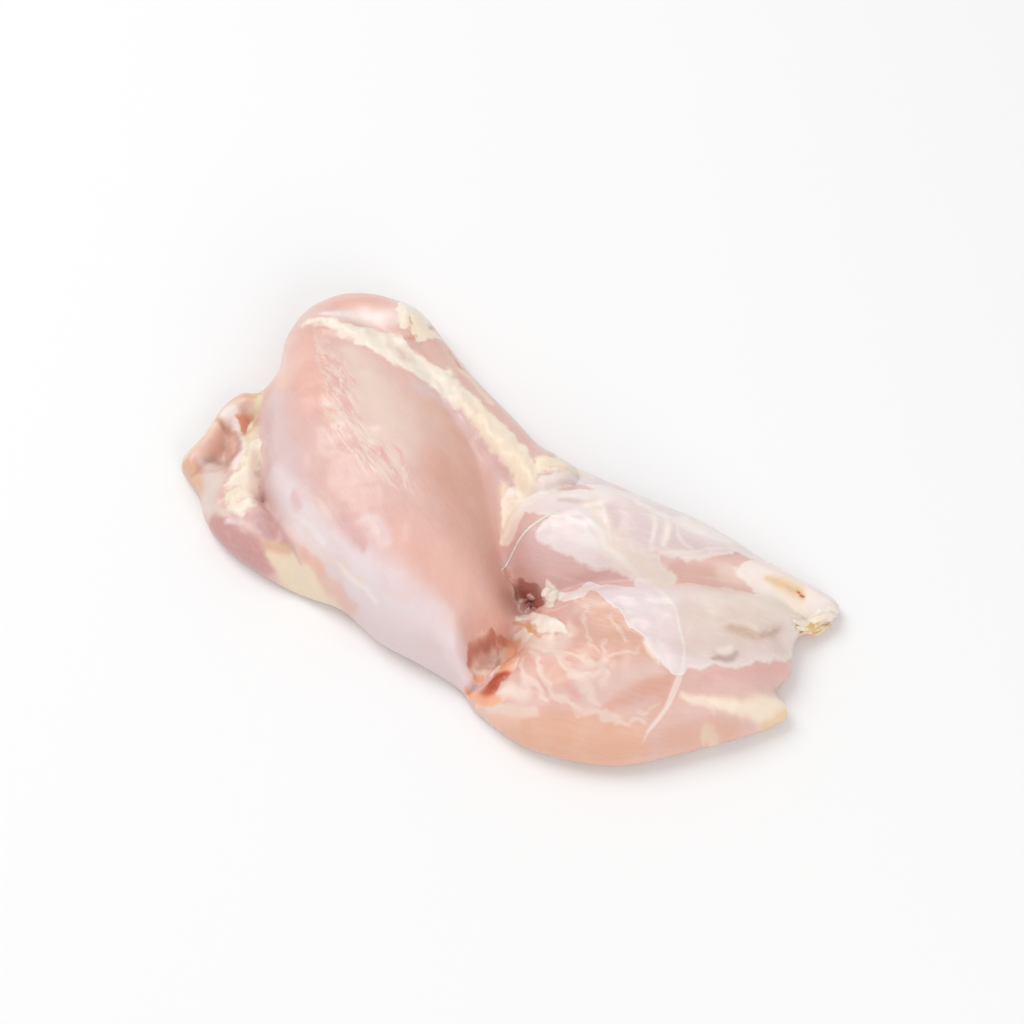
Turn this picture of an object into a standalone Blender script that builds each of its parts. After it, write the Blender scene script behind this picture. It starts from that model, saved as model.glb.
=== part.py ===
"""A raw chicken thigh, boned, skinned and opened out, lying on its cut side.

The piece is one solid. Its back is a height over the plan: every muscle is a rounded
ridge along a path, the muscles meet in creases, and fat, pockets and cuts are added to
them or taken away. The plan is in millimetres, +X to the right and +Y away from the
cook, with the thigh's own middle at the origin and the board at z = 0.
"""

import math

import bpy
import numpy as np

MM = 0.001

# Each row is x, y. The outline runs anticlockwise from the thin tip on the right.
OUTLINE = [
    (85, -25), (83.5, -21.5), (78, -17.5), (71, -13.5), (63, -8.5), (54, -2), (44, 3), (33, 9.5),
    (24, 14), (15, 18.5), (9, 21.5), (2, 30), (-8, 41.5), (-16, 53.5), (-21, 61), (-28, 66.5),
    (-40, 69.5), (-52, 65.5), (-58.5, 55), (-60.5, 43.5), (-65, 38.5), (-70, 38.5), (-75, 34),
    (-79.5, 26), (-85, 17.5), (-80, 8.5), (-77.5, 0.5), (-72.5, -7), (-63, -14.5), (-51, -20.7),
    (-41, -26), (-32, -34.5), (-20, -41.5), (-11, -47), (-7.5, -52.5), (3, -61.5), (15, -66),
    (29, -67.5), (45, -64), (60, -59.5), (69, -55.5), (70, -52), (67.5, -48), (71.5, -43),
    (72.5, -36), (75, -32), (80, -30.5),
]

# Each row is x, y, half width, crest height.
MUSCLES = {
    "broad_lobe": [
        (-48, 48, 14, 18), (-45, 38, 21, 23), (-41, 27, 26, 26), (-36, 14, 29, 28), (-32, 1, 29, 28.5),
        (-25, -14, 25, 27), (-17, -27, 19, 23), (-11, -36, 12.5, 17),
    ],
    "cap": [(-54, 49, 13, 15), (-47, 54, 14, 17.5), (-38, 56, 14, 18.5), (-29, 54, 13, 17.5)],
    "far_strip": [(-24, 51, 10, 15.5), (-15, 40, 11, 16), (-7, 30, 11, 15.5), (1, 21, 11, 15), (9, 12, 10, 14)],
    "strand": [
        (8, -8, 11, 16), (15, -7, 14, 20), (25, -7, 15.5, 22), (38, -10, 14.5, 22), (50, -13.5, 12, 19),
        (62, -18, 9, 14), (73, -22, 6, 9.5), (82, -25, 4, 6),
    ],
    "covered": [
        (20, -29, 9, 14.5), (32, -30, 13, 18), (46, -32, 14.5, 19.5), (59, -34, 13, 17.5), (70, -35, 9, 12),
    ],
    "lower_lobe": [
        (-1, -51, 8, 11), (8, -48, 14, 15), (20, -46, 18, 18.5), (34, -45, 20, 20), (48, -46, 19, 18.5),
        (60, -47, 14, 14.5), (68, -48, 8, 9),
    ],
    "front_band": [
        (-4, -54, 8, 9.5), (5, -58, 10, 12.5), (17, -60, 11, 14), (30, -60, 11, 14), (44, -58, 10.5, 13),
        (57, -55, 9, 10.5), (67, -52, 6, 7),
    ],
    "deep_meat": [(-38, 30, 26, 14), (-18, 4, 26, 14), (8, -18, 26, 13), (36, -32, 26, 15), (58, -36, 18, 13)],
    "flap_rim": [(-83, 17, 4, 6.5), (-78.5, 25, 5, 8), (-75, 31.5, 5, 8.5), (-70, 35, 5, 9), (-64, 35, 5, 10)],
    "flap_strand": [(-71, 31, 3, 9), (-71, 24, 3, 9), (-68, 15, 4.5, 10.5)],
    "flap_fat": [(-78, 9, 5.5, 9), (-71, 9, 7, 11.5), (-66, 14, 7, 12), (-64, 22, 6, 11)],
    "plum_muscle": [(-75, -1, 7, 10), (-69, -7, 8.5, 12), (-61, -12, 7.5, 11)],
    "plum_slip": [(-66, 1, 6, 12), (-60, -6, 6, 12), (-53, -13, 5.5, 9.5)],
}

THIN = 4.8
MUSCLE_BLEND = 5.5

# Each row is x, y, half width, height over the meat.
FAT = {
    "seam_fat": [
        (-55, 54, 2.6, 0.6), (-44, 50.5, 3.4, 1.2), (-34, 46, 4.2, 1.6), (-26, 41, 5, 2.2), (-19, 34, 4.6, 2),
        (-13, 27, 4, 1.6), (-6, 20, 4, 1.6), (1, 13, 3.6, 1.4), (9, 5, 3.5, 1),
    ],
    "seam_knob": [(-26, 47, 4, 1.6), (-25.5, 54, 5, 3.4), (-20, 50, 4, 2)],
    "knot_fat": [(5, -33, 3, 1.6), (10, -34, 3.6, 2.4), (15, -34, 3, 1.6)],
    "tendon": [(62, -16, 3, 0.6), (73, -19.5, 2.6, 1.6), (82, -23.5, 2, 1.4)],
}

# Where the fat is beaded: x, y, half width, with beads per millimetre of run and the seed of their places.
BEADS = [
    ([(-54, 54, 1.6), (-44, 50.5, 2.4), (-34, 46, 3.4), (-26, 42, 4.4), (-19, 34, 4), (-13, 27, 3.2),
      (-6, 20, 3), (1, 13, 2.6), (8, 6, 2.2)], 0.7, 11),
    ([(-27, 46, 3), (-26, 52, 4.4), (-23, 57, 4), (-19, 51, 3)], 1.0, 12),
    ([(4, -33, 2.4), (11, -34, 3.2), (17, -33, 2.4)], 0.8, 13),
    ([(-79, 9, 3), (-72, 8, 4.6), (-66, 12, 4.6), (-64, 21, 3.4)], 0.5, 14),
    ([(6, 15, 3), (14, 16, 3.4), (22, 12, 2.4)], 0.6, 15),
]
BEAD_RADIUS = (1.5, 2.6)
BEAD_HEIGHT = (0.5, 1.3)

# Each row is x, y, half width, depth.
CUTS = {
    "main_crease": [
        (-2, 8, 4, 1.5), (-1, -2, 4, 4), (0, -11, 4, 6), (2, -18, 4, 8), (4, -24, 4.5, 9), (3, -30, 4, 7),
        (0, -35, 4.5, 6), (-5, -38, 4.5, 8), (-8, -44, 4, 5),
    ],
    "pocket": [(-8, -41, 3.5, 4), (-4, -38, 4.5, 5), (2, -36, 3.5, 4)],
    "knot_hole": [(6, -23, 4, 4), (11, -25, 3.5, 3)],
    "strand_foot": [(11, -23, 3, 2.5), (22, -21.5, 3.2, 2.6), (36, -22, 3.2, 2), (50, -22, 3, 1.4), (62, -23, 3, 1)],
    "flap_hollow": [(-74.5, 20, 3.6, 3.6), (-72.5, 26, 3.4, 4)],
    "under_lobe": [
        (-62, 32, 2.6, 2.5), (-63, 14, 2.6, 2.5), (-60, 2, 2.6, 3), (-52, -8, 2.6, 2.5), (-44, -19, 2.4, 1.5),
    ],
}

def smooth_path(rows, closed=False, steps=6):
    """Points read from a Catmull-Rom curve through the rows, with every column carried alike."""
    rows = np.array(rows, float)
    count = len(rows)
    if closed:
        padded = np.vstack([rows[-1], rows, rows[:2]])
    else:
        padded = np.vstack([2 * rows[0] - rows[1], rows, 2 * rows[-1] - rows[-2]])
    spans = count if closed else count - 1
    t = np.linspace(0, 1, steps, endpoint=False)[:, None]
    pieces = []
    for k in range(spans):
        a, b, c, d = padded[k : k + 4]
        pieces.append(
            0.5 * (2 * b + (c - a) * t + (2 * a - 5 * b + 4 * c - d) * t**2 + (3 * b - a - 3 * c + d) * t**3)
        )
    pieces.append(rows[:1] if closed else rows[-1:])
    return np.vstack(pieces)


def nearest_on(path, x, y):
    """How far each place is from a path, and the path's other columns where it is nearest."""
    gap = np.full(x.shape, np.inf)
    carried = np.zeros(x.shape + (path.shape[1] - 2,))
    for start, end in zip(path[:-1], path[1:]):
        run = end[:2] - start[:2]
        share = np.clip(((x - start[0]) * run[0] + (y - start[1]) * run[1]) / (run @ run), 0, 1)
        here = np.hypot(x - start[0] - share * run[0], y - start[1] - share * run[1])
        nearer = here < gap
        gap[nearer] = here[nearer]
        carried[nearer] = start[2:] + share[nearer, None] * (end[2:] - start[2:])
    return gap, carried


def soft_max(a, b, blend):
    """The larger of two heights, with the corner between them filled over the blend."""
    overlap = np.clip(1 - np.abs(a - b) / blend, 0, 1)
    return np.maximum(a, b) + overlap**2 * blend / 4


def ridge(rows, x, y):
    """A rounded ridge: each place takes a weighted mean of the nearest parts of the path."""
    squared = np.zeros(x.shape)
    crest = np.zeros(x.shape)
    weights = np.full(x.shape, 1e-30)
    for px, py, half, high in smooth_path(rows, steps=4):
        away = ((x - px) ** 2 + (y - py) ** 2) / half**2
        weight = np.exp(-8 * away)
        squared += weight * away
        crest += weight * high
        weights += weight
    away = np.clip(squared / weights, 0, 1)
    return crest / weights * np.sqrt(1 - away**1.2)


def fat_beads(x, y):
    """Low round beads of fat scattered along the paths, the highest one counting at each place."""
    height = np.zeros(x.shape)
    for rows, density, seed in BEADS:
        dice = np.random.default_rng(seed)
        path = smooth_path(rows)
        run = np.concatenate([[0], np.cumsum(np.hypot(*np.diff(path[:, :2], axis=0).T))])
        count = int(run[-1] * density)
        at = dice.uniform(0, run[-1], count)
        middle_x, middle_y, half = (np.interp(at, run, path[:, k]) for k in range(3))
        bearing = dice.uniform(0, 2 * math.pi, count)
        out = half * np.sqrt(dice.uniform(0, 1, count))
        radius = dice.uniform(*BEAD_RADIUS, count)
        high = dice.uniform(*BEAD_HEIGHT, count)
        for k in range(count):
            away = np.hypot(
                x - middle_x[k] - out[k] * math.cos(bearing[k]), y - middle_y[k] - out[k] * math.sin(bearing[k])
            )
            height = soft_max(height, high[k] * (1 - (away / radius[k]) ** 2), 0.5)
    return height


def back_height(x, y):
    """The height of the meat over the board before its edge is rounded."""
    height = np.full(x.shape, float(THIN))
    for rows in MUSCLES.values():
        height = soft_max(height, ridge(rows, x, y), MUSCLE_BLEND)
    for rows in FAT.values():
        gap, carried = nearest_on(smooth_path(rows), x, y)
        height += carried[..., 1] * np.exp(-((gap / carried[..., 0]) ** 2))
    for rows in CUTS.values():
        gap, carried = nearest_on(smooth_path(rows), x, y)
        lowered = height - carried[..., 1] * np.exp(-((gap / carried[..., 0]) ** 2))
        height = soft_max(lowered, 0.3 * height, 1)
    return height + fat_beads(x, y)


def outline_in_steps(count):
    """Places on the outline at equal steps round it."""
    ring = smooth_path(OUTLINE, closed=True, steps=16)
    run = np.concatenate([[0], np.cumsum(np.hypot(*np.diff(ring, axis=0).T))])
    at = np.linspace(0, run[-1], count, endpoint=False)
    return np.stack([np.interp(at, run, ring[:, 0]), np.interp(at, run, ring[:, 1])], axis=1)


POLE = (0.0, -14.0)
FLAT = 0.02 * MM


def thigh_surface(around, rings, under_rings):
    """The skin of the thigh as rings of places, from the pole on the back over the rim to the flat underneath."""
    rim = outline_in_steps(around)
    outline = smooth_path(OUTLINE, closed=True)
    even = np.linspace(0, 1, rings + 1)[1:, None]
    share = 0.55 * np.sin(even * math.pi / 2) + 0.45 * even
    x = POLE[0] + share * (rim[:, 0] - POLE[0])
    y = POLE[1] + share * (rim[:, 1] - POLE[1])
    inward, _ = nearest_on(outline, x, y)
    height = back_height(x, y)
    edge = np.clip(0.4 * height[-1], 1.6, 6)
    edge = np.convolve(np.r_[edge[-4:], edge, edge[:4]], np.ones(9) / 9, "valid")
    short_of = 1 - np.clip(inward / np.clip(0.62 * height, 2.5, 13), 0, 1)
    rounding = np.sqrt(1 - short_of**2)
    rounding[-1] = 0
    back = np.stack([x, y, edge + (height - edge) * rounding], axis=-1)
    steps = np.cumsum(np.linspace(0.2, 1, under_rings))
    share = 1 - (steps / steps[-1])[:-1, None]
    x = POLE[0] + share * (rim[:, 0] - POLE[0])
    y = POLE[1] + share * (rim[:, 1] - POLE[1])
    inward, _ = nearest_on(outline, x, y)
    short_of = 1 - np.clip(inward / (1.2 + 0.9 * edge), 0, 1)
    underneath = np.stack([x, y, edge * (1 - np.sqrt(1 - short_of**2))], axis=-1)
    rings = np.concatenate([back, underneath])
    rings[..., :2] -= (rim.min(axis=0) + rim.max(axis=0)) / 2
    return rings


def closed_mesh(name, rings):
    """A mesh of the rings, with a fan of triangles round the pole on the back and the one underneath."""
    count, around = rings.shape[:2]
    poles = [rings[0].mean(axis=0), rings[-1].mean(axis=0)]
    points = np.vstack([rings.reshape(-1, 3), poles])
    index = np.arange(count * around).reshape(count, around)
    after = np.roll(index, -1, axis=1)
    quads = np.stack([index[:-1], index[1:], after[1:], after[:-1]], axis=-1).reshape(-1, 4)
    fan_back = np.stack([np.full(around, len(points) - 2), index[0], after[0]], axis=-1)
    fan_under = np.stack([np.full(around, len(points) - 1), after[-1], index[-1]], axis=-1)
    mesh = bpy.data.meshes.new(name)
    mesh.from_pydata(points * MM, [], quads.tolist() + fan_back.tolist() + fan_under.tolist())
    return mesh


def with_fewer_faces(thing, share):
    """The thing's mesh with its faces thinned where it bends least, its underside still flat on the board."""
    thin_out = thing.modifiers.new("thin_out", "DECIMATE")
    thin_out.ratio = share
    mesh = bpy.data.meshes.new_from_object(thing.evaluated_get(bpy.context.evaluated_depsgraph_get()))
    thing.modifiers.clear()
    for vertex in mesh.vertices:
        if abs(vertex.co.z) < FLAT:
            vertex.co.z = 0.0
    return mesh


def raw_meat():
    """Wet pink meat."""
    material = bpy.data.materials.new("raw_meat")
    material.use_nodes = True
    shader = material.node_tree.nodes["Principled BSDF"]
    shader.inputs["Base Color"].default_value = (0.76, 0.47, 0.41, 1)
    shader.inputs["Roughness"].default_value = 0.35
    return material


def main():
    for thing in list(bpy.data.objects):
        bpy.data.objects.remove(thing)
    mesh = closed_mesh("thigh", thigh_surface(around=400, rings=110, under_rings=14))
    thigh = bpy.data.objects.new("thigh", mesh)
    bpy.context.scene.collection.objects.link(thigh)
    thigh.data = with_fewer_faces(thigh, 0.105)
    thigh.data.materials.append(raw_meat())
    thigh.data.shade_smooth()


main()
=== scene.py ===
"""A raw chicken thigh, boned, skinned and opened out, on a pale studio floor.

Lengths in the tables are in millimetres in plan: +X to the right, +Y away from the cook, with
the floor at z = 0. The meat's back is a height over the plan. Every place on it also gets a
colour from soft strokes laid over the plan, and signed distances that keep the edges of fat
and of silver skin sharp.
"""

import math

import bpy
import numpy as np
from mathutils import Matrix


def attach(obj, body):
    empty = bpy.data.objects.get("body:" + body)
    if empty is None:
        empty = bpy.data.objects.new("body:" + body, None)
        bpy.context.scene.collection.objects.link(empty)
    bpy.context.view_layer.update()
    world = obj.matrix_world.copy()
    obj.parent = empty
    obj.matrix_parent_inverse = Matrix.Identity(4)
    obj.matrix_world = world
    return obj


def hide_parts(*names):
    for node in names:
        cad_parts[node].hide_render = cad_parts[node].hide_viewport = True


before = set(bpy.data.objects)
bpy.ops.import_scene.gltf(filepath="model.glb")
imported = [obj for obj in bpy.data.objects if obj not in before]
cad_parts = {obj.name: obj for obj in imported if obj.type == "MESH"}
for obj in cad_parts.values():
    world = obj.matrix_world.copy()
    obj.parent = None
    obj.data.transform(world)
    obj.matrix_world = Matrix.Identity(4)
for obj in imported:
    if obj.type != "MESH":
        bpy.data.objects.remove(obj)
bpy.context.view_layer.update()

MM = 0.001

# Each row is x, y. The outline runs anticlockwise from the thin tip on the right.
OUTLINE = [
    (85, -25), (83.5, -21.5), (78, -17.5), (71, -13.5), (63, -8.5), (54, -2), (44, 3), (33, 9.5),
    (24, 14), (15, 18.5), (9, 21.5), (2, 30), (-8, 41.5), (-16, 53.5), (-21, 61), (-28, 66.5),
    (-40, 69.5), (-52, 65.5), (-58.5, 55), (-60.5, 43.5), (-65, 38.5), (-70, 38.5), (-75, 34),
    (-79.5, 26), (-85, 17.5), (-80, 8.5), (-77.5, 0.5), (-72.5, -7), (-63, -14.5), (-51, -20.7),
    (-41, -26), (-32, -34.5), (-20, -41.5), (-11, -47), (-7.5, -52.5), (3, -61.5), (15, -66), (29, -67.5),
    (45, -64), (60, -59.5), (69, -55.5), (70, -52), (67.5, -48), (71.5, -43), (72.5, -36), (75, -32),
    (80, -30.5),
]

# Each row is x, y, half width, crest height.
MUSCLES = {
    "broad_lobe": [(-48, 48, 14, 18), (-45, 38, 21, 23), (-41, 27, 26, 26), (-36, 14, 29, 28),
        (-32, 1, 29, 28.5), (-25, -14, 25, 27), (-17, -27, 19, 23), (-11, -36, 12.5, 17)],
    "cap": [(-54, 49, 13, 15), (-47, 54, 14, 17.5), (-38, 56, 14, 18.5), (-29, 54, 13, 17.5)],
    "far_strip": [(-24, 51, 10, 15.5), (-15, 40, 11, 16), (-7, 30, 11, 15.5), (1, 21, 11, 15),
        (9, 12, 10, 14)],
    "strand": [(8, -8, 11, 16), (15, -7, 14, 20), (25, -7, 15.5, 22), (38, -10, 14.5, 22),
        (50, -13.5, 12, 19), (62, -18, 9, 14), (73, -22, 6, 9.5), (82, -25, 4, 6)],
    "covered": [(20, -29, 9, 14.5), (32, -30, 13, 18), (46, -32, 14.5, 19.5), (59, -34, 13, 17.5),
        (70, -35, 9, 12)],
    "lower_lobe": [(-1, -51, 8, 11), (8, -48, 14, 15), (20, -46, 18, 18.5), (34, -45, 20, 20),
        (48, -46, 19, 18.5), (60, -47, 14, 14.5), (68, -48, 8, 9)],
    "front_band": [(-4, -54, 8, 9.5), (5, -58, 10, 12.5), (17, -60, 11, 14), (30, -60, 11, 14),
        (44, -58, 10.5, 13), (57, -55, 9, 10.5), (67, -52, 6, 7)],
    "deep_meat": [(-38, 30, 26, 14), (-18, 4, 26, 14), (8, -18, 26, 13), (36, -32, 26, 15),
        (58, -36, 18, 13)],
    "flap_rim": [(-83, 17, 4, 6.5), (-78.5, 25, 5, 8), (-75, 31.5, 5, 8.5), (-70, 35, 5, 9),
        (-64, 35, 5, 10)],
    "flap_strand": [(-71, 31, 3, 9), (-71, 24, 3, 9), (-68, 15, 4.5, 10.5)],
    "flap_fat": [(-78, 9, 5.5, 9), (-71, 9, 7, 11.5), (-66, 14, 7, 12), (-64, 22, 6, 11)],
    "plum_muscle": [(-75, -1, 7, 10), (-69, -7, 8.5, 12), (-61, -12, 7.5, 11)],
    "plum_slip": [(-66, 1, 6, 12), (-60, -6, 6, 12), (-53, -13, 5.5, 9.5)],
}

THIN = 4.8
THINNEST = 1.5
MUSCLE_BLEND = 5.5
LEFT_IN_CUT = 0.3
CUT_BLEND = 1

# Each row is x, y, half width, height over the meat.
FAT = {
    "seam_fat": [(-55, 54, 2.6, 0.6), (-44, 50.5, 3.4, 1.2), (-34, 46, 4.2, 1.6), (-26, 41, 5, 2.2),
        (-19, 34, 4.6, 2), (-13, 27, 4, 1.6), (-6, 20, 4, 1.6), (1, 13, 3.6, 1.4), (9, 5, 3.5, 1)],
    "seam_knob": [(-26, 47, 4, 1.6), (-25.5, 54, 5, 3.4), (-20, 50, 4, 2)],
    "knot_fat": [(5, -33, 3, 1.6), (10, -34, 3.6, 2.4), (15, -34, 3, 1.6)],
    "tendon": [(62, -16, 3, 0.6), (73, -19.5, 2.6, 1.6), (82, -23.5, 2, 1.4)],
}

# Where the fat is beaded: x, y, half width, with beads per millimetre of run and the seed of their places.
BEADS = [
    ([(-54, 54, 1.6), (-44, 50.5, 2.4), (-34, 46, 3.4), (-26, 42, 4.4), (-19, 34, 4), (-13, 27, 3.2),
      (-6, 20, 3), (1, 13, 2.6), (8, 6, 2.2)], 0.7, 11),
    ([(-27, 46, 3), (-26, 52, 4.4), (-23, 57, 4), (-19, 51, 3)], 1.0, 12),
    ([(4, -33, 2.4), (11, -34, 3.2), (17, -33, 2.4)], 0.8, 13),
    ([(-79, 9, 3), (-72, 8, 4.6), (-66, 12, 4.6), (-64, 21, 3.4)], 0.5, 14),
    ([(6, 15, 3), (14, 16, 3.4), (22, 12, 2.4)], 0.6, 15),
]
BEAD_RADIUS = (1.5, 2.6)
BEAD_HEIGHT = (0.5, 1.3)
BEAD_SHOWING = 0.7
BEAD_BLEND = 0.8

# Each row is x, y, half width, depth.
CUTS = {
    "main_crease": [(-2, 8, 4, 1.5), (-1, -2, 4, 4), (0, -11, 4, 6), (2, -18, 4, 8), (4, -24, 4.5, 9),
        (3, -30, 4, 7), (0, -35, 4.5, 6), (-5, -38, 4.5, 8), (-8, -44, 4, 5)],
    "pocket": [(-8, -41, 3.5, 4), (-4, -38, 4.5, 5), (2, -36, 3.5, 4)],
    "knot_hole": [(6, -23, 4, 4), (11, -25, 3.5, 3)],
    "strand_foot": [(11, -23, 3, 2.5), (22, -21.5, 3.2, 2.6), (36, -22, 3.2, 2), (50, -22, 3, 1.4),
        (62, -23, 3, 1)],
    "flap_hollow": [(-74.5, 20, 3.6, 3.6), (-72.5, 26, 3.4, 4)],
    "under_lobe": [(-62, 32, 2.6, 2.5), (-63, 14, 2.6, 2.5), (-60, 2, 2.6, 3), (-52, -8, 2.6, 2.5),
        (-44, -19, 2.4, 1.5)],
}

# The place that the rings close on, how many rings there are over and under it, and points on each.
POLE = (0.0, -14.0)
RINGS = 130
UNDER_RINGS = 14
RIM_POINTS = 680

# How many plane waves a ripple is made of, and how far outside a band its field still falls.
WAVES = 14
OUTSIDE = -4.0

# How far the edges of each kind of band are shaken, over what length, and the seed.
SHAKES = {
    "fat": (0.4, 3.6, 31), "skin": (0.5, 6, 41), "cut": (0.25, 3, 45), "vein": (0.7, 6, 35),
    "streak": (0.3, 8, 37), "stroke": (0.4, 9, 61),
}

# How sharp the edges of the soft bands are, where a sharp one has 1.
SOFT_FAT = 0.45
SOFT_SKIN = 0.25
SOFT_STREAK = 0.45

# How far each fine layer stands over the meat, and how deep a cut is.
SKIN_THICKNESS = 0.16
SKIN_LIP = 0.1
THREAD_HEIGHT = 0.18
VEIN_HEIGHT = 0.1
FAT_THICKNESS = 0.5
CUT_DEPTH = 0.45

# How many points to each side the height of the rim is evened over.
RIM_EVENED = 8

# How far in from the outline the back is rounded: a share of the height, the least and the most.
ROUNDED = (0.62, 2.5, 13)

# The light that the wet sheen adds to every colour, and the darkest and lightest that a surface is.
SHEEN = 0.035
DARKEST, LIGHTEST = 0.01, 0.92

# Colours as they look in soft white light, red, green and blue out of 255.
COLOURS = {
    # First laid on the meat
    "peach": (238, 190, 175), "lilac_pale": (252, 238, 233), "lilac": (229, 205, 206),
    "light_peach": (245, 207, 188), "salmon": (238, 188, 174), "pink": (230, 191, 183),
    "warm": (232, 187, 168), "deep_peach": (222, 170, 152), "sand": (240, 217, 205),
    "silver": (242, 228, 231), "silver_shade": (228, 213, 216), "patch_pink": (224, 181, 180),
    "rose": (230, 178, 176), "mauve": (230, 193, 182), "mauve_dark": (218, 176, 169),
    "pale_pink": (234, 203, 199), "cream_fat": (240, 222, 195), "strand_pink": (223, 188, 186),
    "strip_pink": (229, 192, 183), "pale": (242, 216, 202), "meat_right": (226, 175, 157),
    "apricot": (230, 186, 163), "orange_pale": (228, 184, 150), "marble": (230, 201, 194),
    "front": (233, 182, 157), "edge_cream": (251, 235, 214), "golden": (230, 188, 130),
    "edge_tan": (237, 213, 189), "tan": (242, 206, 189), "brown": (222, 170, 152), "rim": (238, 216, 194),
    "grey": (231, 218, 210), "greige_shade": (200, 172, 160), "yellow_cream": (238, 226, 194),
    "white_veil": (248, 236, 230), "plum": (207, 158, 156), "plum_light": (201, 162, 161),
    "wedge": (240, 223, 198), "tan_pale": (222, 182, 155),
    # First laid on the silver skin
    "skin_white": (252, 243, 236), "skin_lilac": (238, 225, 226), "skin_shade": (222, 203, 197),
    "veil_strand": (226, 207, 206), "skin_cream": (242, 229, 217), "skin_beige": (231, 214, 200),
    "veil_low": (227, 208, 198), "dimple_shade": (200, 172, 148), "dimple_deep_shade": (160, 130, 128),
    # First laid on the fat
    "cream": (253, 239, 225), "yellow_fat": (250, 233, 208),
    # First laid on the cuts
    "hole": (230, 148, 124), "crease_shade_mauve": (196, 154, 158), "orange_line": (224, 160, 130),
    "pocket_pink": (255, 222, 206), "pocket_dark": (222, 168, 156), "maroon": (192, 126, 114),
    "pocket_orange": (250, 186, 152), "red": (186, 84, 60), "dark": (150, 88, 76),
    "honey": (222, 168, 118),
    # For the thin line of painted shade round the hollow of the flap
    "hollow_shade_brown": (204, 150, 132),
}

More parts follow.
